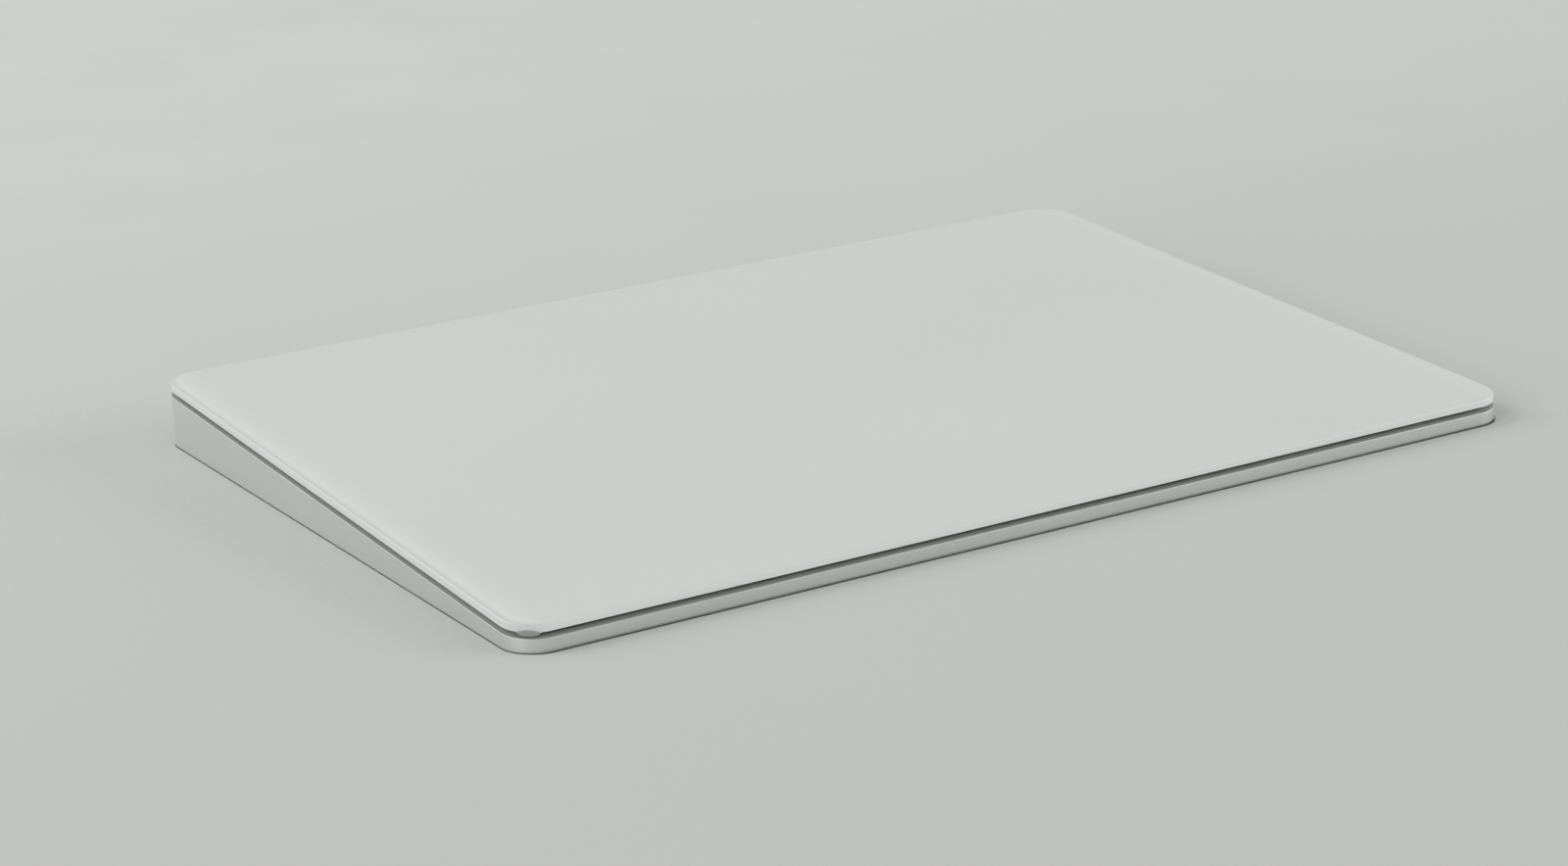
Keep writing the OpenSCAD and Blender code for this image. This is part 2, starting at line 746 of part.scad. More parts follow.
// Core of one magnet: a pole on the bracket and a bar through the coil
module haptic_core(side) {
    bar_x = core_half_gap;
    bar_w = bracket_top_w + (coil_h - bar_h) / 2;
    color("#6d7074") on_slope() translate([0, haptic_v, 0]) mirror([side > 0 ? 0 : 1, 0, 0]) {
        translate([pole_x, -haptic_d / 2, bracket_top_w]) cube([pole_t, haptic_d, pole_h]);
        translate([bar_x, -bar_d / 2, bar_w]) cube([pole_x - bar_x + pole_t / 2, bar_d, bar_h]);
    }
}

module haptic_coil(side) {
    color("#b87333") on_slope() translate([0, haptic_v, 0]) mirror([side > 0 ? 0 : 1, 0, 0]) difference() {
        translate([coil_x, -coil_d / 2, bracket_top_w]) cube([coil_l, coil_d, coil_h]);
        translate([0, coil_side - coil_d / 2, bracket_top_w + coil_wall])
            cube([2 * pole_x, coil_d - 2 * coil_side, coil_h - 2 * coil_wall]);
    }
}

module haptic_rail(side) {
    color("#7c8084") on_slope() translate([0, haptic_v, 0]) mirror([side > 0 ? 0 : 1, 0, 0])
        translate([rail_x, -haptic_d / 2, plate_w - rail_h]) cube([rail_t, haptic_d, rail_h]);
}

// T-shaped flat cable over both coils and back to the main board
module haptic_flex() {
    reach = board_y0 - haptic_y + haptic_connector_d;
    color("#c98a2b") on_slope() translate([0, haptic_v, coil_top_w]) linear_extrude(flex_t) {
        square([2 * coil_x + coil_l, haptic_flex_w], center = true);
        translate([-haptic_flex_w / 2, 0]) square([haptic_flex_w, reach]);
    }
}

module haptic_connector()
    color("#e6dfc8") up_to_slope([haptic_flex_w, haptic_connector_d],
        [0, board_y0 + haptic_connector_d / 2], board_top, coil_top_w);

module haptic_screws() color("#8d9094") at_haptic_screws() screw(haptic_hole_l - tip_room);

module main_board() {
    color("#234f3b") difference() {
        translate([0, board_y, board_z]) linear_extrude(board_t) round_rect(board_w, board_d, board_corner_r);
        at_board_screws() cylinder(h = rear_h, r = screw_r + screw_clear);
    }
}

module shield_can() {
    color("#c6c8ca") difference() {
        translate([shield_x - shield_w / 2, board_y - shield_d / 2, board_top])
            cube([shield_w, shield_d, shield_h]);
        translate([shield_x - shield_w / 2 + shield_wall, board_y - shield_d / 2 + shield_wall, board_z])
            cube([shield_w - 2 * shield_wall, shield_d - 2 * shield_wall, board_t + shield_h - shield_wall]);
    }
}

module processor_chip() color("#222428") chip(processor);
module radio_chip() color("#222428") chip(radio);
module charge_chip() color("#222428") chip(charger);
module haptic_driver_chip() color("#222428") chip(driver);
module force_amplifier_chip() color("#222428") chip(amplifier);
module touch_connector() color("#e6dfc8") connector(touch_x, touch_plug_w);
module battery_connector() color("#e6dfc8") connector(battery_connector_x, flex_w);
module io_connector() color("#e6dfc8") connector(io_connector_x, flex_w);

module board_screws() {
    length = board_top - floor_under_z - hole_floor - tip_room;
    color("#8d9094") at_board_screws() translate([0, 0, board_top]) screw(length);
}

module antenna_carrier()
    color("#3a3c3f") translate([antenna_x - antenna_w / 2, antenna_y0, floor_z])
        cube([antenna_w, antenna_l, antenna_h]);

// Copper strip that runs to and fro over the carrier
module antenna_strip() {
    row_l = antenna_w - 2 * antenna_shelf;
    color("#c98a2b") translate([antenna_x, antenna_y0 + antenna_shelf + strip_w / 2, floor_z + antenna_h])
        linear_extrude(strip_t) {
            for (k = [0 : strip_rows - 1])
                translate([0, k * strip_pitch]) square([row_l, strip_w], center = true);
            for (k = [0 : strip_rows - 2]) {
                side = k % 2 == 0 ? 1 : -1;
                translate([side * (row_l - strip_w) / 2, (k + 0.5) * strip_pitch])
                    square([strip_w, strip_pitch], center = true);
            }
        }
}

// Thin lead from the carrier, round a bend, to its plug on the main board
module antenna_lead() {
    bend_x = antenna_x - lead_bend;
    bend_y = board_y + lead_bend;
    half = lead_w / 2;
    color("#2a2b2d") translate([0, 0, board_top]) linear_extrude(lead_w) {
        translate([antenna_x - half, bend_y]) square([lead_w, antenna_y0 - bend_y]);
        translate([antenna_plug_x, board_y - half]) square([bend_x - antenna_plug_x, lead_w]);
        translate([antenna_plug_x, board_y]) circle(lead_plug_r);
        translate([bend_x, bend_y]) intersection() {
            difference() {
                circle(lead_bend + half);
                circle(lead_bend - half);
            }
            translate([0, -2 * lead_bend]) square(2 * lead_bend);
        }
    }
}

// Edge of the pouch cell: upright, with round upper and lower edges
module cell_edge() {
    r = battery_corner_r;
    e = min(battery_edge_r, battery_t / 2);
    square([r - e, battery_t]);
    translate([0, e]) square([r, battery_t - 2 * e]);
    for (y = [e, battery_t - e]) translate([r - e, y]) circle(e);
}

module battery_cell() {
    color("#3b3e42") translate([0, battery_y, battery_z])
        edged_block(battery_w, battery_d, battery_corner_r, battery_t) cell_edge();
}

module battery_tape() {
    color("#d8d4c4") translate([0, battery_y, floor_z]) linear_extrude(battery_tape_t)
        square([battery_w - 2 * battery_tape_inset, battery_d - 2 * battery_tape_inset], center = true);
}

module battery_board()
    color("#234f3b") translate([battery_connector_x - guard_l / 2, guard_y0, floor_z])
        cube([guard_l, guard_w, flex_z - floor_z]);

// Flat cable from the protection board to its connector
module battery_lead() {
    y0 = board_y - flex_w / 2;
    color("#c98a2b") translate([battery_connector_x - flex_w / 2, y0, flex_z])
        cube([flex_w, guard_y0 + guard_w - y0, flex_t]);
}

module io_board() {
    io_w = io_left + io_x1;
    color("#234f3b") difference() {
        translate([io_x1 - io_w / 2, (io_y0 + io_y1) / 2, io_z])
            linear_extrude(io_t) round_rect(io_w, io_d, board_corner_r);
        at_io_screws() cylinder(h = rear_h, r = screw_r + screw_clear);
    }
}

module io_plug()
    color("#e6dfc8") translate([io_plug_x - flex_w / 2, io_plug_y - flex_w / 2, io_top])
        cube([flex_w, flex_w, flex_z - io_top]);

// Flat cable from the rear board round the left end of the cell to the main board
module io_flex() {
    x0 = lane_x - flex_w / 2;
    low_y = board_y - flex_w / 2;
    high_y = io_plug_y - flex_w / 2;
    color("#c98a2b") translate([0, 0, flex_z]) linear_extrude(flex_t) {
        translate([x0, high_y]) square([io_plug_x + flex_w / 2 - x0, flex_w]);
        translate([x0, low_y]) square([flex_w, high_y - low_y + flex_w]);
        translate([x0, low_y]) square([io_connector_x + flex_w / 2 - x0, flex_w]);
    }
}

module io_screws() {
    length = io_top - floor_under_z - hole_floor - tip_room;
    color("#8d9094") at_io_screws() translate([0, 0, io_top]) screw(length);
}

module port_shell() {
    color("#b4b7ba") in_rear_wall(0, mouth_y, shell_l) difference() {
        stadium(shell_w, shell_h);
        stadium(bay_w, bay_h);
    }
}

// Plastic body at the back of the socket, with the tongue that carries the contacts
module port_tongue() {
    fit = thread_clear;
    color("#1c1d1f") {
        in_rear_wall(0, tongue_y, tongue_block_l) stadium(bay_w - 2 * fit, bay_h - 2 * fit);
        translate([-tongue_w / 2, tongue_y - fit, port_z - tongue_t / 2])
            cube([tongue_w, tongue_l + fit, tongue_t]);
    }
}

module port_contacts() {
    row_x = (contact_count - 1) / 2 * contact_pitch;
    level = tongue_t / 2;
    color("#d4af37") for (k = [0 : contact_count - 1], z = [level, -level - contact_t])
        translate([k * contact_pitch - row_x - contact_w / 2, tongue_y, port_z + z])
            cube([contact_w, contact_l, contact_t]);
}

module switch_body() {
    half = port_z - io_top;
    bay_half = actuator_w / 2 + actuator_clear;
    color("#2a2b2d") difference() {
        translate([switch_x - switch_l / 2, switch_y1 - switch_d, io_top])
            cube([switch_l, switch_d, 2 * half]);
        translate([switch_x - switch_bay_l / 2, switch_y1 - switch_bay_d, port_z - bay_half])
            cube([switch_bay_l, 2 * switch_d, 2 * bay_half]);
    }
}

module switch_actuator() {
    y0 = switch_y1 - switch_bay_d + actuator_clear;
    color("#dcdcda") translate([knob_x - actuator_w / 2, y0, port_z - actuator_w / 2])
        cube([actuator_w, flange_y - y0, actuator_w]);
}

// Knob in its slot, with a flange behind the wall and a fork round the actuator
module switch_knob() {
    fork_x = (actuator_w + prong_t) / 2 + actuator_clear;
    face_y = body_d / 2 - knob_depth;
    color("#e4e4e2") difference() {
        union() {
            in_rear_wall(knob_x, face_y, face_y - flange_y) stadium(knob_l, knob_h);
            in_rear_wall(knob_x, flange_y + flange_t, flange_t)
                square([knob_l + 2 * wing_l, slot_h + 2 * flange_lap], center = true);
            for (s = [-1, 1])
                translate([knob_x + s * fork_x - prong_t / 2, flange_y - prong_l, port_z - actuator_w / 2])
                    cube([prong_t, prong_l + flange_t / 2, actuator_w]);
        }
        for (k = [0 : ridge_count]) translate([knob_x + (k - ridge_count / 2) * ridge_pitch, face_y, port_z])
            cube([groove, 2 * groove, knob_h], center = true);
    }
}

// Green film on the wing of the flange that shows when the switch is on
module switch_indicator() {
    film_l = wing_l - flange_lap / 2;
    film_x = knob_x - (knob_l + film_l) / 2 - knob_clear;
    color("#39b54a") in_rear_wall(film_x, wall_y - flange_gap + film_t, film_t)
        square([film_l - knob_clear, slot_h + flange_lap], center = true);
}

wedge_case();
bottom_cover();
cover_adhesive();
foot(-1, -1);  // foot_front_left
foot(1, -1);  // foot_front_right
foot(-1, 1);  // foot_rear_left
foot(1, 1);  // foot_rear_right
glass_plate();
glass_adhesive();
touch_sensor_board();
support_plate();
touch_controller_chip();
touch_plug();
touch_flex();
flexure(-1, -1);  // flexure_front_left
flexure(1, -1);  // flexure_front_right
flexure(-1, 1);  // flexure_rear_left
flexure(1, 1);  // flexure_rear_right
strain_gauges();
gel_pads();
flexure_screws();
haptic_bracket();
haptic_core(-1);  // haptic_core_left
haptic_core(1);  // haptic_core_right
haptic_coil(-1);  // haptic_coil_left
haptic_coil(1);  // haptic_coil_right
haptic_rail(-1);  // haptic_rail_left
haptic_rail(1);  // haptic_rail_right
haptic_flex();
haptic_connector();
haptic_screws();
main_board();
shield_can();
processor_chip();
radio_chip();
charge_chip();
haptic_driver_chip();
force_amplifier_chip();
touch_connector();
battery_connector();
io_connector();
board_screws();
antenna_carrier();
antenna_strip();
antenna_lead();
battery_cell();
battery_tape();
battery_board();
battery_lead();
io_board();
io_plug();
io_flex();
io_screws();
port_shell();
port_tongue();
port_contacts();
switch_body();
switch_actuator();
switch_knob();
switch_indicator();
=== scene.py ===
"""Looks of a wedge-shaped wireless trackpad, in metres and in the frame of its solids."""

from __future__ import annotations

import logging
import math
from dataclasses import dataclass
from enum import Enum
from functools import lru_cache
from typing import Callable, Iterable, Optional, Sequence, Union

import bmesh
import bpy
import numpy as np
from mathutils import Matrix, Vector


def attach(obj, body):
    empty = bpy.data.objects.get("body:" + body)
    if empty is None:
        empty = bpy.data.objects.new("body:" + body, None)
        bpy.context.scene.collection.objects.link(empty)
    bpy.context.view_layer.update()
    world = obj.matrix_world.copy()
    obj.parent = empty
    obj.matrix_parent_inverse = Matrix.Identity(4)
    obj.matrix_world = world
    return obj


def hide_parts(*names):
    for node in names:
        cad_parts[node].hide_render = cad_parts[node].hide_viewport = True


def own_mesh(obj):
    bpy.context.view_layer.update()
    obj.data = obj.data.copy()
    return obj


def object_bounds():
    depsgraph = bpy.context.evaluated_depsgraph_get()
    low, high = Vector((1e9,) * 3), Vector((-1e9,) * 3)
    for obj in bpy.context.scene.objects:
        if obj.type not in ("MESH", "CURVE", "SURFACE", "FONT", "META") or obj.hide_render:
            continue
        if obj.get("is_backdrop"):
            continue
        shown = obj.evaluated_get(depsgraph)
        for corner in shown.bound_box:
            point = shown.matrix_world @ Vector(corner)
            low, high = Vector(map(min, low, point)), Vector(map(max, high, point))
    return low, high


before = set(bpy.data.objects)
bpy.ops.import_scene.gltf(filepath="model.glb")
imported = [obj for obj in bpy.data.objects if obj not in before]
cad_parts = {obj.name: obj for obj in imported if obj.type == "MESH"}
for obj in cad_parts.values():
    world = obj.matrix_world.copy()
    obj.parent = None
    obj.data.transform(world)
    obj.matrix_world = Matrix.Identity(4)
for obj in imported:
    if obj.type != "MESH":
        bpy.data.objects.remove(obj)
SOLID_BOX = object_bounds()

log = logging.getLogger("trackpad")
MM = 0.001
TINY = 1e-9
# Distances at which points are joined and slivers are dropped
WELD = 0.0005 * MM
SLIVER = 0.0001 * MM
# Decimals of a metre that tell two stops apart
STOP_DIGITS = 9
# Radians in a unit of Blender's wave texture
WAVE_RATE = 20.0
# Plan of the case, and the height of what goes through its rear wall
CASE_WIDTH = 160.0 * MM
CASE_DEPTH = 114.9 * MM
CASE_CORNER = 4.9 * MM
REAR_LEVEL = 4.88 * MM
# Rim of the case round the bottom cover, and how far the cover lies inside the case
COVER_RIM = 3.0 * MM
COVER_FIT = 0.1 * MM
COVER_INSET = COVER_RIM + COVER_FIT
Colour = tuple[float, float, float]


class Body(str, Enum):
    """Bodies of the part that a piece can ride on."""

    BASE = "base"
    TOUCH = "touch_surface"
    SWITCH = "power_switch"


class Axis(Enum):
    """Direction that a grain, a track or a turn of wire runs in."""

    X = "X"
    Y = "Y"

    @property
    def across(self) -> str:
        """Letter of the direction at right angles to this one."""
        return "Y" if self is Axis.X else "X"


class Mark(str, Enum):
    """Values that a piece keeps at its points."""

    # Worn edges, and painted shade on edges and sides
    WORN_AND_SHADED = "worn"
    LEDGE = "ledge"
    BEAD = "bead"
    # Painted glow, where light would catch in the glass
    PAINTED_GLOW = "glow"


Marks = dict[Mark, Union[float, np.ndarray]]


# Shader graphs


class Signal:
    """Socket of a shader graph that takes part in Python arithmetic."""

    def __init__(self, graph: Graph, socket: bpy.types.NodeSocket) -> None:
        """Keeps the socket and its graph."""
        self.graph = graph
        self.socket = socket

    def __add__(self, other: Value) -> Signal:
        """Sum of two values."""
        return self.graph.math("ADD", self, other)

    def __radd__(self, other: Value) -> Signal:
        """Sum with a number on the left."""
        return self.graph.math("ADD", other, self)

    def __sub__(self, other: Value) -> Signal:
        """Difference of two values."""
        return self.graph.math("SUBTRACT", self, other)

    def __rsub__(self, other: Value) -> Signal:
        """Difference from a number on the left."""
        return self.graph.math("SUBTRACT", other, self)

    def __mul__(self, other: Value) -> Signal:
        """Product of two values."""
        return self.graph.math("MULTIPLY", self, other)

    def __rmul__(self, other: Value) -> Signal:
        """Product with a number on the left."""
        return self.graph.math("MULTIPLY", other, self)


Value = Union[Signal, float]
Paint = Union[Signal, Colour]


class Graph:
    """Shader graph of one material, built round a Principled BSDF."""

    def __init__(self, name: str) -> None:
        """Starts a material.

        Args:
            name: Name of the material.
        """
        self.material = bpy.data.materials.new(name)
        self.material.use_nodes = True
        self.tree = self.material.node_tree
        self.shader = self.tree.nodes["Principled BSDF"]

    def feed(self, socket: bpy.types.NodeSocket, value: object) -> None:
        """Links a signal to a socket, or sets its number, vector or colour.

        Args:
            socket: Input that takes the value.
            value: Signal, number, vector, or colour of three numbers.
        """
        if isinstance(value, Signal):
            self.tree.links.new(value.socket, socket)
        elif socket.type == "RGBA":
            socket.default_value = (*value, 1.0)
        else:
            socket.default_value = value

    def node(self, kind: str, settings: dict, sockets: dict, output: int = 0) -> Signal:
        """Adds a node.

        Args:
            kind: Blender's name of the node's type.
            settings: The node's own settings, set first.
            sockets: Values or signals by the name or number of the input.
            output: Number of the output that is returned.

        Returns:
            The chosen output.
        """
        made = self.tree.nodes.new(kind)
        for name, value in settings.items():
            setattr(made, name, value)
        for name, value in sockets.items():
            self.feed(made.inputs[name], value)
        return Signal(self, made.outputs[output])

    def set(self, **inputs: object) -> None:
        """Sets inputs of the shader, with _ for each space in a name."""
        for name, value in inputs.items():
            self.feed(self.shader.inputs[name.replace("_", " ")], value)

    def math(self, operation: str, *values: Value) -> Signal:
        """Math node of that operation on the values, in order."""
        return self.node("ShaderNodeMath", {"operation": operation}, dict(enumerate(values)))

    def place(self, stretch: Sequence[float] = (1, 1, 1)) -> Signal:
        """Object coordinates in metres, stretched by a factor along each axis."""
        here = self.node("ShaderNodeTexCoord", {}, {}, 3)
        return self.node("ShaderNodeMapping", {}, {"Vector": here, "Scale": tuple(stretch)})

    def along(self, axis: str) -> Signal:
        """Object coordinate along X, Y or Z, in metres."""
        return self.node("ShaderNodeSeparateXYZ", {}, {0: self.place()}, "XYZ".index(axis))

    def noise(self, size: float, detail: float = 2.0, stretch: Sequence[float] = (1, 1, 1)) -> Signal:
        """Cloudy noise from 0 to 1.

        Args:
            size: Size of its features in metres.
            detail: Octaves of finer noise.
            stretch: Factor along each axis; below 1 draws the noise out.

        Returns:
            The noise value.
        """
        sockets = {"Vector": self.place(stretch), "Scale": 1.0 / size, "Detail": detail}
        return self.node("ShaderNodeTexNoise", {}, sockets)

    def cells(self, size: float, metric: str = "EUCLIDEAN", output: int = 0,
              jitter: float = 1.0) -> Signal:
        """Distance from the middle of irregular cells.

        Args:
            size: Size of a cell in metres.
            metric: How distance is measured.
            output: 0 for the distance, 1 for the cell's colour.
            jitter: 0 for a regular grid, 1 for cells at random.

        Returns:
            The chosen output.
        """
        sockets = {"Vector": self.place(), "Scale": 1.0 / size, "Randomness": jitter}
        return self.node("ShaderNodeTexVoronoi", {"distance": metric}, sockets, output)

    def stripes(self, pitch: float, axis: str, wobble: float = 0.0) -> Signal:
        """Even stripes from 0 to 1, one in each pitch along an axis.

        Args:
            pitch: Distance from stripe to stripe in metres.
            axis: Direction across the stripes.
            wobble: How much the stripes waver.

        Returns:
            The stripes as a sine wave.
        """
        settings = {"bands_direction": axis}
        scale = 2 * math.pi / (WAVE_RATE * pitch)
        sockets = {"Vector": self.place(), "Scale": scale, "Distortion": wobble}
        return self.node("ShaderNodeTexWave", settings, sockets, 1)

    def step(self, value: Value, low: float, high: float) -> Signal:
        """Smooth step: 0 up to low and 1 from high on, or the other way where high is below low."""
        sockets = {"Value": value, "From Min": low, "From Max": high}
        return self.node("ShaderNodeMapRange", {"interpolation_type": "SMOOTHSTEP"}, sockets)

    def blend(self, share: Value, first: Paint, second: Paint) -> Signal:
        """Colour between two others, by a share from 0 to 1."""
        return self.node("ShaderNodeMix", {"data_type": "RGBA"}, {0: share, 6: first, 7: second}, 2)

    def mark(self, mark: Mark) -> Signal:
        """Value that a piece keeps at its points."""
        return self.node("ShaderNodeAttribute", {"attribute_name": mark.value}, {}, 2)

    def relief(self, height: Value, depth: float, strength: float = 1.0) -> None:
        """Raises the surface's shading by a height from 0 to 1.

        Args:
            height: Relief from 0 to 1.
            depth: Depth of the relief in metres.
            strength: Share of the effect.
        """
        sockets = {"Height": height, "Distance": depth, "Strength": strength}
        self.set(Normal=self.node("ShaderNodeBump", {}, sockets))


def tinted(colour: Colour, factor: float) -> Colour:
    """Colour made darker or lighter by a factor."""
    return tuple(min(1.0, channel * factor) for channel in colour)


# Finishes


@dataclass(frozen=True)
class Finish:
    """Surface finish: its colour, its gloss and what varies over it."""

    name: str
    colour: Colour
    roughness: float = 0.5
    metallic: float = 0.0

    def paint(self, graph: Graph) -> None:
        """Adds what varies over the surface."""
        raise NotImplementedError

    def shade(self, graph: Graph, share: Value, low: float, high: float) -> Signal:
        """Own colour between two factors, by a share from 0 to 1."""
        return graph.blend(share, tinted(self.colour, low), tinted(self.colour, high))

    def material(self) -> bpy.types.Material:
        """Makes the material of this finish.

        Returns:
            The material, with the plain values set and what varies painted over them.
        """
        graph = Graph(self.name)
        graph.set(Base_Color=self.colour, Roughness=self.roughness, Metallic=self.metallic)
        self.paint(graph)
        graph.material.diffuse_color = (*self.colour, 1.0)
        return graph.material


@dataclass(frozen=True)
class BlastedAluminium(Finish):
    """Bead-blasted, clear anodised aluminium, rubbed at its edges and darkened there by painted shade,
    and matte on its machined ledge.
    """

    grain: float = 0.11 * MM
    patch: float = 30.0 * MM
    matte: Colour = (0.49, 0.495, 0.45)
    # Colour factor of the worn edges, darker as painted shade that dulls their highlight
    rubbed_and_shaded: float = 0.93
    bare: float = 0.7
    depth: float = 0.003 * MM

    def paint(self, graph: Graph) -> None:
        """Fine grain in tone, gloss and relief, slow drift of tone, rubbed edges with painted shade, and
        the matte ledge.

        Args:
            graph: Graph of the material.
        """
        grain = graph.noise(self.grain, 3.0)
        drift = graph.noise(self.patch, 2.0)
        worn = graph.mark(Mark.WORN_AND_SHADED)
        ledge = graph.mark(Mark.LEDGE)
        share = 0.5 * grain + 0.5 * drift
        tone = self.shade(graph, share, 0.95, 1.05)
        # Worn edges, darker as painted shade that dulls their highlight
        rubbed_and_shaded = graph.blend(worn, tone, tinted(self.colour, self.rubbed_and_shaded))
        graph.set(Base_Color=graph.blend(ledge, rubbed_and_shaded, self.matte))
        graph.set(Metallic=self.metallic - self.bare * ledge)
        graph.set(Roughness=self.roughness + 0.10 * (grain - 0.5) + 0.15 * worn + 0.2 * ledge)
        graph.relief(grain, self.depth, 0.5)


@dataclass(frozen=True)
class EtchedGlass(Finish):
    """Etched matte glass over white ink, with a painted glow inside its sides, painted shade at its edge
    and left side, and a grey bead.
    """

    etch: float = 0.07 * MM
    smear: float = 22.0 * MM
    cloud: float = 60.0 * MM
    speck: float = 0.8 * MM
    bead: Colour = (0.34, 0.34, 0.315)
    # Factors of the painted glow by the sides and of the painted shade at the edge
    glow: float = 1.16
    edge: float = 0.91
    depth: float = 0.002 * MM

    def paint(self, graph: Graph) -> None:
        """Etched grain, faint smears in the gloss, slow drift of tone, painted glow by the sides,
        painted shade at the edge, and the bead.

        Args:
            graph: Graph of the material.
        """
        etch = graph.noise(self.etch, 2.0)
        smear = graph.step(graph.noise(self.smear, 5.0, (1.0, 0.6, 1.0)), 0.45, 0.75)
        drift = graph.noise(self.cloud, 1.0)
        bead = graph.mark(Mark.BEAD)
        mottle = graph.noise(self.speck, 3.0)
        tone = self.shade(graph, drift, 0.985, 1.015)
        # Painted glow: lighter where light would catch in the glass
        lit = graph.blend(graph.mark(Mark.PAINTED_GLOW), tone, tinted(self.colour, self.glow))
        # Painted shade: darker at the round edge and on the left side
        rim = graph.blend(graph.mark(Mark.WORN_AND_SHADED), lit, tinted(self.colour, self.edge))
        grey = graph.blend(mottle, tinted(self.bead, 0.8), tinted(self.bead, 1.2))
        graph.set(Base_Color=graph.blend(bead, rim, grey))
        graph.set(Roughness=self.roughness + 0.05 * (etch - 0.5) - 0.05 * smear + 0.2 * bead)
        graph.relief(etch, self.depth, 0.5)


@dataclass(frozen=True)
class SatinPlastic(Finish):
    """Moulded plastic with a fine spark-eroded texture."""

    texture: float = 0.16 * MM
    depth: float = 0.006 * MM
    patch: float = 25.0 * MM

    def paint(self, graph: Graph) -> None:
        """Pebbled texture in relief and gloss, and a slow drift of tone.

        Args:
            graph: Graph of the material.
        """
        pebble = graph.cells(self.texture)
        drift = graph.noise(self.patch, 2.0)
        graph.set(Base_Color=self.shade(graph, drift, 0.95, 1.04))
        graph.set(Roughness=self.roughness + 0.14 * (pebble - 0.5))
        graph.relief(pebble, self.depth, 0.5)


@dataclass(frozen=True)
class SoftRubber(Finish):
    """Soft moulded rubber that has picked up a little dust."""

    speck: float = 0.35 * MM
    grain: float = 0.12 * MM
    depth: float = 0.012 * MM
    dust: Colour = (0.50, 0.48, 0.45)

    def paint(self, graph: Graph) -> None:
        """Specks of dust over a fine grain.

        Args:
            graph: Graph of the material.
        """
        grain = graph.noise(self.grain, 3.0)
        dust = graph.step(graph.noise(self.speck, 4.0), 0.52, 0.70)
        smooth = self.shade(graph, grain, 0.9, 1.07)
        graph.set(Base_Color=graph.blend(0.35 * dust, smooth, self.dust))
        graph.set(Roughness=self.roughness + 0.12 * dust)
        graph.relief(grain, self.depth, 0.6)


@dataclass(frozen=True)
class AdhesiveFilm(Finish):
    """Thin adhesive film with trapped fibres and pale bubbles."""

    fibre: float = 0.5 * MM
    bubble: float = 2.2 * MM
    depth: float = 0.01 * MM

    def paint(self, graph: Graph) -> None:
        """Drawn-out fibres and small bubbles.

        Args:
            graph: Graph of the material.
        """
        fibre = graph.noise(self.fibre, 4.0, (1.0, 0.12, 1.0))
        bubble = graph.step(graph.cells(self.bubble), 0.16, 0.10)
        film = self.shade(graph, fibre, 0.88, 1.06)
        graph.set(Base_Color=graph.blend(0.5 * bubble, film, tinted(self.colour, 1.2)))
        graph.set(Roughness=self.roughness - 0.15 * bubble)
        graph.relief(fibre, self.depth, 0.4)


@dataclass(frozen=True)
class CircuitLaminate(Finish):
    """Circuit board: solder mask over copper tracks, with plated holes."""

    track: Colour = (0.05, 0.20, 0.10)
    gold: Colour = (0.75, 0.55, 0.22)
    pitch: float = 0.45 * MM
    block: float = 3.1 * MM
    hole: float = 1.9 * MM
    weave: float = 0.3 * MM
    depth: float = 0.03 * MM

    def paint(self, graph: Graph) -> None:
        """Tracks that turn from block to block, plated holes, and the weave under the mask.

        Args:
            graph: Graph of the material.
        """
        block = graph.cells(self.block, "CHEBYCHEV", 1, 0.85)
        pick = graph.step(graph.node("ShaderNodeSeparateColor", {}, {0: block}), 0.49, 0.51)
        ways = [graph.step(graph.stripes(self.pitch, axis), 0.60, 0.72) for axis in "XY"]
        track = ways[0] * pick + ways[1] * (1.0 - pick)
        hole = graph.cells(self.hole, "EUCLIDEAN", 0, 0.8)
        ring = graph.step(hole, 0.17, 0.14) * graph.step(hole, 0.06, 0.09)
        weave = graph.stripes(self.weave, "X") * graph.stripes(self.weave, "Y")
        mask = self.shade(graph, weave, 0.85, 1.25)
        graph.set(Base_Color=graph.blend(ring, graph.blend(track, mask, self.track), self.gold))
        graph.set(Metallic=ring, Roughness=self.roughness - 0.08 * track)
        graph.relief(graph.math("MAXIMUM", track, ring), self.depth, 0.7)


@dataclass(frozen=True)
class RolledSteel(Finish):
    """Rolled or brushed metal with a drawn-out grain."""

    run: Axis = Axis.X
    grain: float = 0.09 * MM
    stain: float = 0.06
    drawn: float = 0.03
    patch: float = 9.0 * MM
    depth: float = 0.004 * MM
    oxide: Colour = (0.16, 0.12, 0.09)

    def paint(self, graph: Graph) -> None:
        """Long streaks in tone, gloss and relief, and faint stains.

        Args:
            graph: Graph of the material.
        """
        stretch = (self.drawn, 1.0, 1.0) if self.run is Axis.X else (1.0, self.drawn, 1.0)
        streak = graph.noise(self.grain, 3.0, stretch)
        stain = graph.noise(self.patch, 4.0)
        tone = self.shade(graph, streak, 0.8, 1.15)
        graph.set(Base_Color=graph.blend(self.stain * stain, tone, self.oxide))
        graph.set(Roughness=self.roughness + 0.22 * (streak - 0.5) + 0.1 * (stain - 0.5))
        graph.relief(streak, self.depth, 0.6)


@dataclass(frozen=True)
class SoftIron(Finish):
    """Soft magnetic iron, laminated and a little mottled."""

    sheet: float = 0.35 * MM
    mottle: float = 1.4 * MM
    depth: float = 0.02 * MM

    def paint(self, graph: Graph) -> None:
        """Edges of the thin sheets and a mottled oxide skin.

        Args:
            graph: Graph of the material.
        """
        seam = graph.step(graph.stripes(self.sheet, "Z"), 0.12, 0.02)
        mottle = graph.noise(self.mottle, 5.0)
        skin = self.shade(graph, mottle, 0.7, 1.3)
        graph.set(Base_Color=graph.blend(0.6 * seam, skin, tinted(self.colour, 0.3)))
        graph.set(Roughness=self.roughness + 0.2 * (mottle - 0.5))
        graph.relief(mottle - 0.5 * seam, self.depth, 0.5)


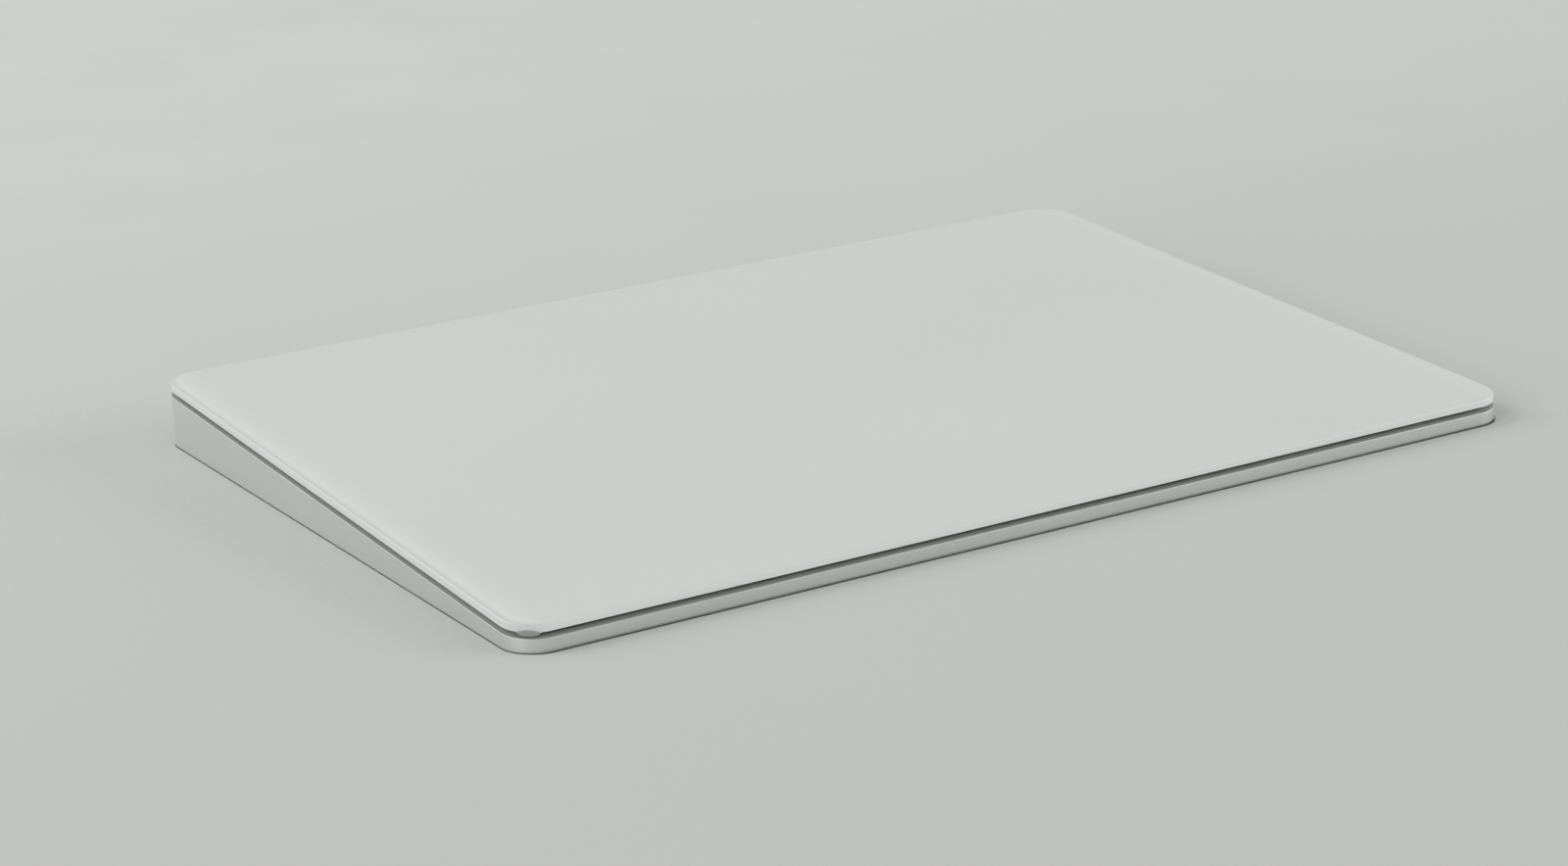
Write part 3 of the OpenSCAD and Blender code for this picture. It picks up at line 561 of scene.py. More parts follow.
@dataclass(frozen=True)
class WoundCopper(Finish):
    """Enamelled copper wire laid turn by turn."""

    wire: float = 0.16 * MM
    lay: str = "X"
    waver: float = 0.25
    slack: float = 2.5 * MM
    depth: float = 0.05 * MM

    def paint(self, graph: Graph) -> None:
        """Round turns in relief, painted shade in the valleys between them, and a few slack turns.

        Args:
            graph: Graph of the material.
        """
        turn = graph.stripes(self.wire, self.lay, self.waver)
        slack = graph.noise(self.slack, 2.0)
        lacquer = self.shade(graph, slack, 0.85, 1.15)
        # Painted shade in the valleys between the turns
        graph.set(Base_Color=graph.blend(turn, tinted(self.colour, 0.3), lacquer))
        graph.set(Roughness=self.roughness + 0.12 * (slack - 0.5))
        graph.relief(turn, self.depth, 0.9)


@dataclass(frozen=True)
class ClearGel(Finish):
    """Soft tinted gel with small trapped bubbles."""

    bubble: float = 0.5 * MM
    cloud: float = 1.5 * MM
    depth: float = 0.02 * MM
    pale: Colour = (0.75, 0.82, 0.86)

    def paint(self, graph: Graph) -> None:
        """Bubbles in tone and relief over a cloudy body.

        Args:
            graph: Graph of the material.
        """
        bubble = graph.step(graph.cells(self.bubble), 0.26, 0.16)
        cloud = graph.noise(self.cloud, 3.0)
        body = self.shade(graph, cloud, 0.85, 1.15)
        graph.set(Base_Color=graph.blend(0.5 * bubble, body, self.pale))
        graph.set(Roughness=self.roughness + 0.1 * cloud)
        graph.relief(bubble, self.depth, 0.5)


@dataclass(frozen=True)
class MouldedResin(Finish):
    """Filled black resin with a fine moulded grain."""

    grain: float = 0.08 * MM
    speck: float = 0.35 * MM
    depth: float = 0.01 * MM
    filler: Colour = (0.12, 0.12, 0.125)

    def paint(self, graph: Graph) -> None:
        """Grain with a few pale filler specks.

        Args:
            graph: Graph of the material.
        """
        grain = graph.noise(self.grain, 3.0)
        speck = graph.step(graph.cells(self.speck), 0.16, 0.08)
        body = self.shade(graph, grain, 0.7, 1.5)
        graph.set(Base_Color=graph.blend(0.25 * speck, body, self.filler))
        graph.set(Roughness=self.roughness + 0.2 * (grain - 0.5))
        graph.relief(grain, self.depth, 0.6)


@dataclass(frozen=True)
class SlottedPlastic(Finish):
    """Connector plastic with a row of metal contacts."""

    pitch: float = 0.4 * MM
    contact: Colour = (0.80, 0.62, 0.30)
    cloud: float = 1.2 * MM
    depth: float = 0.04 * MM

    def paint(self, graph: Graph) -> None:
        """Contacts in each pitch along X, set in the plastic.

        Args:
            graph: Graph of the material.
        """
        slot = graph.step(graph.stripes(self.pitch, "X"), 0.70, 0.82)
        cloud = graph.noise(self.cloud, 3.0)
        body = self.shade(graph, cloud, 0.9, 1.06)
        graph.set(Base_Color=graph.blend(slot, body, self.contact))
        graph.set(Metallic=slot, Roughness=self.roughness - 0.2 * slot)
        graph.relief(1.0 - slot, self.depth, 0.7)


@dataclass(frozen=True)
class CableFilm(Finish):
    """Amber flat cable with copper tracks under its film."""

    run: Axis = Axis.X
    pitch: float = 0.5 * MM
    copper: Colour = (0.70, 0.30, 0.08)
    crease: float = 2.0 * MM
    depth: float = 0.02 * MM

    def paint(self, graph: Graph) -> None:
        """Tracks along the cable, seen through the film, and soft creases.

        Args:
            graph: Graph of the material.
        """
        track = graph.step(graph.stripes(self.pitch, self.run.across), 0.40, 0.55)
        crease = graph.noise(self.crease, 3.0)
        film = self.shade(graph, crease, 0.85, 1.15)
        graph.set(Base_Color=graph.blend(0.8 * track, film, self.copper))
        graph.set(Metallic=0.5 * track, Roughness=self.roughness + 0.15 * (crease - 0.5))
        graph.relief(track + 0.5 * crease, self.depth, 0.5)


@dataclass(frozen=True)
class PouchFoil(Finish):
    """Laminated foil of a pouch cell, faintly wrinkled."""

    wrinkle: float = 6.0 * MM
    sheen: float = 0.15 * MM
    depth: float = 0.25 * MM

    def paint(self, graph: Graph) -> None:
        """Wrinkles in relief and in the gloss, and a brushed sheen painted into the colour as streaks of
        tone.

        Args:
            graph: Graph of the material.
        """
        wrinkle = graph.noise(self.wrinkle, 4.0)
        sheen = graph.noise(self.sheen, 2.0, (0.05, 1.0, 1.0))
        # Painted sheen: drawn-out streaks of lighter and darker tone
        graph.set(Base_Color=self.shade(graph, sheen, 0.8, 1.3))
        graph.set(Roughness=self.roughness + 0.2 * (wrinkle - 0.5))
        graph.relief(wrinkle, self.depth, 0.5)


@dataclass(frozen=True)
class PaleFloor(Finish):
    """Plain pale felt, with painted light that makes it a little paler behind the object."""

    # Painted light: colour factor of the far part, and the span along Y over which it comes in
    far: float = 1.20
    painted_light_span: tuple[float, float] = (-150.0 * MM, 300.0 * MM)
    mottle: float = 40.0 * MM
    felt: float = 1.4 * MM
    depth: float = 0.15 * MM

    def paint(self, graph: Graph) -> None:
        """Barely visible mottle, the far part paler by painted light, and the felt's nap.

        Args:
            graph: Graph of the material.
        """
        mottle = graph.noise(self.mottle, 3.0)
        felt = graph.noise(self.felt, 4.0)
        # Painted light: the felt grows paler towards the back
        behind = graph.step(graph.along("Y"), *self.painted_light_span)
        tone = graph.blend(behind, self.colour, tinted(self.colour, self.far))
        graph.set(Base_Color=graph.blend(0.5 * mottle, tone, tinted(self.colour, 1.04)))
        graph.relief(felt, self.depth, 0.4)


@lru_cache(maxsize=None)
def material_of(finish: Finish) -> bpy.types.Material:
    """Material of a finish, made once."""
    return finish.material()


ALUMINIUM = BlastedAluminium("blasted_aluminium", (0.733, 0.748, 0.722), 0.36, 0.9)
GLASS = EtchedGlass("etched_white_glass", (0.677, 0.697, 0.672), 0.40)
WHITE_PLASTIC = SatinPlastic("satin_white_plastic", (0.74, 0.745, 0.735), 0.46)
FOOT_RUBBER = SoftRubber("pale_foot_rubber", (0.55, 0.55, 0.54), 0.78)
TAPE = AdhesiveFilm("adhesive_tape", (0.66, 0.62, 0.52), 0.6)
BOND = AdhesiveFilm("clear_bond", (0.55, 0.60, 0.62), 0.25)
LAMINATE = CircuitLaminate("green_laminate", (0.012, 0.075, 0.035), 0.35)
SENSOR_LAMINATE = CircuitLaminate("sensor_laminate", (0.30, 0.33, 0.31), 0.35, track=(0.38, 0.42, 0.39))
PLATE_STEEL = RolledSteel("coated_plate_steel", (0.64, 0.645, 0.63), 0.6, 0.1)
SPRING_STEEL = RolledSteel("spring_steel", (0.52, 0.525, 0.53), 0.30, 1.0)
SCREW_STEEL = RolledSteel("plated_screw_steel", (0.45, 0.455, 0.46), 0.34, 1.0, grain=0.05 * MM)
BRIGHT_STEEL = RolledSteel("drawn_tinned_steel", (0.68, 0.69, 0.70), 0.24, 1.0, Axis.Y)
CORE_IRON = SoftIron("soft_iron", (0.17, 0.17, 0.18), 0.5, 0.9)
COIL_WIRE = WoundCopper("enamelled_wire", (0.62, 0.24, 0.09), 0.32, 0.85)
COPPER_STRIP = RolledSteel("rolled_copper", (0.72, 0.36, 0.18), 0.3, 1.0)
GOLD = RolledSteel("gold_plate", (0.80, 0.58, 0.22), 0.22, 1.0, Axis.Y, 0.03 * MM, 0.02)
GEL = ClearGel("blue_gel", (0.32, 0.45, 0.55), 0.2)
CHIP_RESIN = MouldedResin("chip_resin", (0.016, 0.016, 0.018), 0.55)
BLACK_PLASTIC = MouldedResin("black_moulding", (0.02, 0.02, 0.022), 0.42)
CONNECTOR = SlottedPlastic("connector_plastic", (0.70, 0.65, 0.50), 0.45)
FILM_X = CableFilm("cable_film_across", (0.45, 0.20, 0.03), 0.28)
FILM_Y = CableFilm("cable_film_along", (0.45, 0.20, 0.03), 0.28, run=Axis.Y)
FOIL = PouchFoil("pouch_foil", (0.07, 0.072, 0.078), 0.36, 0.7)
GREEN_FILM = SatinPlastic("green_indicator", (0.03, 0.42, 0.08), 0.3)
FLOOR = PaleFloor("pale_floor", (0.574, 0.586, 0.570), 0.85)


# Surfaces


Rows = Sequence[tuple[float, float]]


@dataclass
class Surface:
    """Triangle surface under construction.

    points holds a place per row, triangles three numbers of points per row, and marks a value per point
    for each mark that the surface has.
    """

    points: np.ndarray
    triangles: np.ndarray
    marks: Marks

    @classmethod
    def grid(cls, points: np.ndarray, closed: bool = False, keep: Optional[np.ndarray] = None,
             marks: Optional[Marks] = None) -> Surface:
        """Two triangles for each cell of a grid of points.

        Args:
            points: Array of rows, columns and three coordinates.
            closed: Whether the last column meets the first.
            keep: Truth value for each cell, where some are left open.
            marks: Values of the points, for all or for each.

        Returns:
            The surface.
        """
        rows, columns = points.shape[:2]
        index = np.arange(rows * columns).reshape(rows, columns)
        if closed:
            index = np.concatenate([index, index[:, :1]], axis=1)
        a, b, c, d = index[:-1, :-1], index[:-1, 1:], index[1:, 1:], index[1:, :-1]
        cells = np.stack([a, b, c, a, c, d], axis=-1)
        if keep is not None:
            cells = cells[keep]
        shape = (rows, columns)
        spread = {mark: np.broadcast_to(value, shape).ravel() for mark, value in (marks or {}).items()}
        return cls(points.reshape(-1, 3), cells.reshape(-1, 3), spread)

    @classmethod
    def joined(cls, parts: Iterable[Surface]) -> Surface:
        """Makes one surface of several, with their points numbered on.

        Args:
            parts: Surfaces in order.

        Returns:
            The surface; a mark that a part lacks is 0 there.
        """
        parts = list(parts)
        starts = np.cumsum([0] + [len(part.points) for part in parts[:-1]])
        triangles = [part.triangles + start for part, start in zip(parts, starts)]
        marks = {
            mark: np.concatenate([part.marks.get(mark, np.zeros(len(part.points))) for part in parts])
            for mark in {mark for part in parts for mark in part.marks}
        }
        return cls(np.concatenate([part.points for part in parts]), np.concatenate(triangles), marks)

    def piece(self, name: str, body: Body, nodes: Sequence[str], slot: str, finish: Finish,
              crease: float = 38.0) -> bpy.types.Object:
        """Makes the surface a piece of the object.

        Args:
            name: Name of the piece.
            body: Body that it rides on.
            nodes: Nodes that it stands for.
            slot: Material slot of the record; not used.
            finish: Its finish.
            crease: Angle in degrees from which an edge is shaded sharp.

        Returns:
            The new object.
        """
        mesh = bpy.data.meshes.new(name)
        mesh.from_pydata(self.points, [], self.triangles)
        for mark, values in sorted(self.marks.items()):
            kept = mesh.attributes.new(mark.value, "FLOAT", "POINT")
            kept.data.foreach_set("value", np.asarray(values, np.float32))
        shell = bmesh.new()
        shell.from_mesh(mesh)
        bmesh.ops.remove_doubles(shell, verts=shell.verts, dist=WELD)
        bmesh.ops.dissolve_degenerate(shell, edges=shell.edges, dist=SLIVER)
        bmesh.ops.recalc_face_normals(shell, faces=shell.faces)
        shell.to_mesh(mesh)
        shell.free()
        mesh.shade_smooth()
        mesh.set_sharp_from_angle(angle=math.radians(crease))
        mesh.materials.append(material_of(finish))
        made = bpy.data.objects.new(name, mesh)
        bpy.context.scene.collection.objects.link(made)
        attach(made, body.value)
        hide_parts(*nodes)
        log.info("%s: %d triangles for %s", name, len(mesh.polygons), ", ".join(nodes))
        return made


@dataclass(frozen=True)
class Outline:
    """Rectangle with round corners: points of its inner rectangle and their outward directions.

    The outline at a distance d is anchors + d * outward, so d is 0 on the inner rectangle and the
    corner radius on the outline itself.
    """

    xs: np.ndarray
    ys: np.ndarray
    anchors: np.ndarray
    outward: np.ndarray
    arc: int

    @classmethod
    def through(cls, xs: np.ndarray, ys: np.ndarray, arc: int) -> Outline:
        """Outline whose straight runs have the given stops.

        Args:
            xs: Rising stops along the front and rear runs.
            ys: Rising stops along the side runs.
            arc: Steps round each corner.

        Returns:
            The outline, from the front left corner anticlockwise.
        """
        runs = [
            (xs, np.full_like(xs, ys[0]), -90.0),
            (np.full_like(ys, xs[-1]), ys, 0.0),
            (xs[::-1], np.full_like(xs, ys[-1]), 90.0),
            (np.full_like(ys, xs[0]), ys[::-1], 180.0),
        ]
        anchors, angles = [], []
        for x, y, angle in runs:
            bend = np.linspace(angle, angle + 90.0, arc + 1)[1:-1]
            anchors += [np.stack([x, y], axis=-1), np.tile([x[-1], y[-1]], (arc - 1, 1))]
            angles += [np.full(len(x), angle), bend]
        turn = np.radians(np.concatenate(angles))
        outward = np.stack([np.cos(turn), np.sin(turn)], axis=-1)
        return cls(xs, ys, np.concatenate(anchors), outward, arc)

    @classmethod
    def plain(cls, width: float, depth: float, radius: float, arc: int, count: int = 4) -> Outline:
        """Outline round the origin, with even stops on its straight runs.

        Args:
            width: Size along X.
            depth: Size along Y.
            radius: Corner radius.
            arc: Steps round each corner.
            count: Stops on each run.

        Returns:
            The outline.
        """
        xs, ys = (np.linspace(radius - size / 2, size / 2 - radius, count) for size in (width, depth))
        return cls.through(xs, ys, arc)

    def rings(self, offsets: Sequence[float]) -> np.ndarray:
        """Points of the outline at each distance, as rows, columns and two coordinates."""
        out = np.asarray(offsets, float)[:, None, None]
        return self.anchors[None] + out * self.outward[None]

    def inside(self) -> np.ndarray:
        """Grid of points over the inner rectangle, as rows, columns and two coordinates."""
        return np.stack(np.meshgrid(self.xs, self.ys), axis=-1)

    def rear(self, first: int, last: int) -> np.ndarray:
        """Columns of the rear run between two stops, by rising X."""
        start = len(self.xs) + len(self.ys) + 2 * (self.arc - 1)
        return start + len(self.xs) - 1 - np.arange(first, last + 1)


def raised(plan: np.ndarray, height: Union[float, np.ndarray]) -> np.ndarray:
    """Plan points with a height added as the third coordinate."""
    level = np.broadcast_to(height, plan.shape[:-1])
    return np.concatenate([plan, level[..., None]], axis=-1)


def quarter(steps: int) -> tuple[np.ndarray, np.ndarray]:
    """Sine and cosine of angles from 0 to a right angle."""
    angle = np.linspace(0.0, math.pi / 2, steps)
    return np.sin(angle), np.cos(angle)


def stops(*spans: tuple[float, float, int]) -> np.ndarray:
    """Rising stops through spans, each given by its start, its end and its number of steps."""
    runs = [np.linspace(start, end, steps + 1) for start, end, steps in spans]
    return np.unique(np.round(np.concatenate(runs), STOP_DIGITS))


def ring_between(outer: np.ndarray, inner: np.ndarray, count: int) -> np.ndarray:
    """Rows of points that go from one loop to another in even steps, both ends included."""
    share = np.linspace(0.0, 1.0, count)[:, None, None]
    return outer[None] * (1.0 - share) + inner[None] * share


def capped(loops: np.ndarray) -> np.ndarray:
    """Loops carried along a path, with the middle of the end loop added at each end to close it."""
    ends = [np.broadcast_to(loops[k].mean(axis=0), (1, *loops[k].shape)) for k in (0, -1)]
    return np.concatenate([ends[0], loops, ends[1]])


def stadium(length: float, height: float, count: int) -> np.ndarray:
    """Loop of a slot with round ends.

    Half of the loop runs under the slot from left to right: a quarter circle, the straight side and a
    quarter circle, in even steps of length. The other half is the same turned by half a turn.

    Args:
        length: Overall length, along the first coordinate.
        height: Overall height, along the second coordinate.
        count: Points on each half.

    Returns:
        Points as rows of two coordinates.
    """
    radius, straight = height / 2, length - height
    bend = math.pi * radius / 2
    run = (np.arange(count) + 0.5) / count * (2 * bend + straight)
    start = math.pi + np.minimum(run, bend) / radius
    end = np.maximum(run - bend - straight, 0.0) / radius - math.pi / 2
    slide = np.clip(run - bend, 0.0, straight) - straight / 2
    turned = np.where(run < bend, start, np.where(run > bend + straight, end, -math.pi / 2))
    half = np.stack([slide + radius * np.cos(turned), radius * np.sin(turned)], axis=-1)
    return np.concatenate([half, -half])


def slab(outline: Outline, rows: Rows, level: Callable[[np.ndarray, float], np.ndarray],
         centre: tuple[float, float] = (0.0, 0.0)) -> Surface:
    """Closed block: a profile carried round an outline, closed by flat ends inside it.

    Args:
        outline: Outline that the profile follows.
        rows: Distance from the inner rectangle and height, from the lower to the upper end.
        level: Gives the real height at plan points from a height of the profile.
        centre: Place of the outline's middle.

    Returns:
        The surface.
    """
    offsets, heights = np.array(rows, float).T
    plan = outline.rings(offsets) + np.array(centre)
    side = np.stack([raised(ring, level(ring, height)) for ring, height in zip(plan, heights)])
    parts = [Surface.grid(side, True)]
    middle = outline.inside() + np.array(centre)
    border = outline.anchors + np.array(centre)
    for end in (0, -1):
        parts.append(Surface.grid(raised(middle, level(middle, heights[end]))))
        inner = raised(border, level(border, heights[end]))
        parts.append(Surface.grid(np.stack([inner, side[end]]), True))
    return Surface.joined(parts)


def flat(plan: np.ndarray, height: float) -> np.ndarray:
    """Level height at every plan point."""
    return np.full(plan.shape[:-1], height)


def soft_rows(radius: float, low: float, high: float, edge: float, steps: int = 5) -> Rows:
    """Profile of a block with rounded lower and upper edges.

    Args:
        radius: Corner radius of the outline.
        low: Lower height.
        high: Upper height.
        edge: Radius of both edges.
        steps: Steps on each edge.

    Returns:
        Distances and heights for slab.
    """
    s, c = quarter(steps)
    lower = list(zip(radius - edge + edge * s, low + edge - edge * c))
    upper = list(zip(radius - edge + edge * c, high - edge + edge * s))
    return lower + upper


# Sub-assemblies


@dataclass(frozen=True)
class Slope:
    """Sloping frame of the touch plate: v runs up the slope and w stands on it."""

    tilt: float = math.radians(2.99)
    front: float = 5.003 * MM
    depth: float = CASE_DEPTH

    @property
    def level(self) -> float:
        """Height of the slope over the middle of the case."""
        return self.front + self.depth / 2 * math.tan(self.tilt)

    def height(self, y: np.ndarray, w: float) -> np.ndarray:
        """Height at a place y of the plane that lies at w over the slope."""
        return self.level + y * math.tan(self.tilt) + w / math.cos(self.tilt)

    def lifted(self, points: np.ndarray) -> np.ndarray:
        """Turns points from the sloping frame into the part's frame.

        Args:
            points: Places along X, up the slope and over it.

        Returns:
            The same places in the part's frame.
        """
        x, v, w = points[..., 0], points[..., 1], points[..., 2]
        c, s = math.cos(self.tilt), math.sin(self.tilt)
        return np.stack([x, v * c - w * s, self.level + v * s + w * c], axis=-1)


@dataclass
class TouchGlass:
    """Glass touch plate with a small round upper edge and a bead of hardened adhesive at one corner."""

    slope: Slope
    inset: float = 0.05 * MM
    case_width: float = CASE_WIDTH
    case_corner: float = CASE_CORNER
    thick: float = 1.1 * MM
    edge: float = 0.3 * MM
    arris: float = 0.08 * MM
    columns: int = 33
    rows: int = 25
    corner_steps: int = 96
    arris_steps: int = 5
    side_steps: int = 15
    edge_steps: int = 9
    top_steps: int = 19
    bead_angle: float = math.radians(234.0)
    bead_width: float = 1.7 * MM
    bead_drop: float = 0.55 * MM
    bead_rise: float = 0.60 * MM
    bead_inset: float = 0.10 * MM
    bead_top: float = 0.20 * MM
    bead_soft: float = 0.10 * MM
    bead_ends: float = 4.0
    # Painted glow along the sides, and painted shade on the left side and the round edge
    glow_peak: float = 1.35 * MM
    glow_start: float = 0.35 * MM
    glow_decay: float = 1.6 * MM
    glow_band: float = 0.72
    glow_right: float = 0.25
    glow_front: float = 1.0
    painted_shade_left: float = 0.7
    painted_shade_front: float = 0.05

    @property
    def corner(self) -> float:
        """Corner radius of the plate."""
        return self.case_corner - self.inset

    def profile(self) -> np.ndarray:
        """Edge from the underside's middle to the top's: arris, upright side, round edge and flat top.

        Returns:
            Distances from the inner rectangle and heights over the slope, in rows.
        """
        s, c = quarter(self.arris_steps)
        lower = np.stack([self.corner - self.arris + self.arris * s, self.arris - self.arris * c], -1)
        shelf, shoulder = self.corner - self.edge, self.thick - self.edge
        side = np.linspace(self.arris, shoulder, self.side_steps)[1:-1]
        wall = np.stack([np.full_like(side, self.corner), side], -1)
        s, c = quarter(self.edge_steps)
        upper = np.stack([shelf + self.edge * c, shoulder + self.edge * s], -1)
        inward = np.linspace(shelf, 0.0, self.top_steps)[1:]
        top = np.stack([inward, np.full_like(inward, self.thick)], -1)
        return np.concatenate([[[0.0, 0.0]], lower, wall, upper, top]) - (0.0, self.thick)

    def bead(self, points: np.ndarray, outward: np.ndarray) -> tuple[np.ndarray, np.ndarray]:
        """Bead that hangs from the lower edge at the near corner.

        With a the distance along the corner over the bead's half width, the edge sinks by
        drop * (1 - a⁴) where that is positive, and the side follows it up to the bead's rise. What hangs
        below the plate is grey, and so is an arch of top * (1 - a²) over that.

        Args:
            points: Points of the edge in the sloping frame, in rows and columns.
            outward: Outward direction of each column.

        Returns:
            The moved points, and how far each one belongs to the bead.
        """
        angle = np.arctan2(outward[:, 1], outward[:, 0]) % (2 * math.pi)
        along = (angle - self.bead_angle) * self.corner / self.bead_width
        swell = np.clip(1.0 - along**4, 0.0, None)[None]
        arch = np.clip(1.0 - along**2, 0.0, None)[None]
        up = points[..., 2] + self.thick
        near = np.clip(1.0 - up / self.bead_rise, 0.0, 1.0)
        moved = points.copy()
        moved[..., 2] -= self.bead_drop * swell * near
        moved[..., :2] -= (self.bead_inset * np.sqrt(swell) * near)[..., None] * outward[None]
        sunk = self.bead_drop * swell
        hanging = sunk / (1.0 + sunk / self.bead_rise)
        lens = np.clip((hanging + self.bead_top * arch - up) / self.bead_soft + 0.5, 0.0, 1.0)
        return moved, lens * np.clip(self.bead_ends * arch, 0.0, 1.0)

    def glow(self, offsets: np.ndarray, outward: np.ndarray) -> np.ndarray:
        """Painted glow along the sides, where light would catch in the glass, by the distance in from
        the edge.

        It rises smoothly from glow_start to glow_peak, then fades by exp(-distance / glow_decay). Its
        peak is glow_band on the left side, the share glow_right of that on the right side, and nothing
        at the front and rear.

        Args:
            offsets: Distance of each row from the inner rectangle.
            outward: Outward direction of each column.

        Returns:
            Values from 0 to 1 by row and column.
        """
        inward = self.corner - offsets
        rise = np.clip((inward - self.glow_start) / (self.glow_peak - self.glow_start), 0.0, 1.0)
        fade = np.exp(-np.clip(inward - self.glow_peak, 0.0, None) / self.glow_decay)
        end = np.clip((self.corner - inward) / self.edge, 0.0, 1.0)
        side = np.where(outward[:, 0] < 0, -outward[:, 0], self.glow_right * outward[:, 0])
        return self.glow_band * (rise**2 * (3.0 - 2.0 * rise) * fade * end)[:, None] * side[None]

    def surface(self) -> Surface:
        """Carries the profile round the outline and closes it by the flat top and underside.

        The upright side gets a painted glow of glow_front where it faces the front, which fades over the
        round edge, and painted shade of painted_shade_left where it faces the left. The round edge gets
        painted shade, full on the left and by painted_shade_front elsewhere.

        Returns:
            The surface with its marks.
        """
        length = self.slope.depth / math.cos(self.slope.tilt) - 2 * self.inset
        half_x = self.case_width / 2 - self.inset - self.corner
        half_y = length / 2 - self.corner
        xs, ys = np.linspace(-half_x, half_x, self.columns), np.linspace(-half_y, half_y, self.rows)
        outline = Outline.through(xs, ys, self.corner_steps)
        offsets, heights = self.profile().T
        edge = -self.edge - TINY
        level = np.broadcast_to(heights[:, None], (len(heights), len(outline.anchors)))
        side, bead = self.bead(raised(outline.rings(offsets), level), outline.outward)
        side[0] = raised(outline.anchors, heights[0])
        bead[0] = 0.0
        # Painted glow: a band in from the left and right sides, and the upright side where it faces the
        # front
        front = self.glow_front * np.clip(-outline.outward[:, 1], 0.0, 1.0)
        sunk = np.clip(-heights / self.edge, 0.0, 1.0)
        band = np.where(level > -self.edge, self.glow(offsets, outline.outward), 0.0)
        glow = np.maximum(band, sunk[:, None] * front[None])
        # Painted shade: the round edge, full on the left, and the upright side where it faces the left
        arc = (heights > edge) & (offsets > self.corner + edge)
        left = np.clip(-outline.outward[:, 0], 0.0, 1.0)
        painted_shade = arc[:, None] * (self.painted_shade_front + (1.0 - self.painted_shade_front) * left)[None]
        worn = np.where(level > edge, painted_shade, self.painted_shade_left * left[None])
        marks = {Mark.BEAD: bead, Mark.PAINTED_GLOW: glow, Mark.WORN_AND_SHADED: worn}
        parts = [Surface.grid(self.slope.lifted(side), True, marks=marks)]
        for height in (-self.thick, 0.0):
            parts.append(Surface.grid(self.slope.lifted(raised(outline.inside(), height))))
        return Surface.joined(parts)

    def build(self) -> None:
        """Makes the glass and dresses it."""
        self.surface().piece("touch_glass", Body.TOUCH, ["glass_plate"], "white_glass", GLASS)


@dataclass
class WallSlot:
    """Slot through the rear wall, cut in the cell between two stops of the wall."""

    x: float
    z: float
    length: float
    height: float
    reach: float = 8.0 * MM
    steps: int = 40
    rings: int = 6
    arris: float = 0.12 * MM

    def span(self) -> tuple[float, float, int]:
        """Stops along the rear wall that the cell takes up."""
        return self.x - self.reach, self.x + self.reach, self.steps

    def surface(self, outer: np.ndarray, inner: np.ndarray) -> Surface:
        """Wall round the slot on both faces, and the slot's own side.

        Rows of points go from the cell's border in the outer face to the slot's bevelled edge, through
        the wall, and out to the cell's border in the inner face.

        Args:
            outer: Border of the cell in the outer face: lower side by rising X, upper side back.
            inner: Border of the cell in the inner face, in the same order.

        Returns:
            The surface.
        """
        count = self.steps + 1
        loops = []
        for grow, depth in ((self.arris, 0.0), (0.0, self.arris)):
            loop = stadium(self.length + 2 * grow, self.height + 2 * grow, count)
            y = np.full(len(loop), outer[0, 1] - depth)
            loops.append(np.stack([self.x + loop[:, 0], y, self.z + loop[:, 1]], axis=-1))
        back = loops[1].copy()
        back[:, 1] = inner[0, 1]
        faces = [ring_between(outer, loops[0], self.rings), ring_between(back, inner, self.rings)]
        rows = np.concatenate([faces[0], loops[1][None], faces[1]])
        # Worn bevel of the slot, darker by painted shade in the finish
        worn = np.zeros((len(rows), 1))
        worn[self.rings - 1:self.rings + 1] = 1.0
        return Surface.grid(rows, True, marks={Mark.WORN_AND_SHADED: worn})


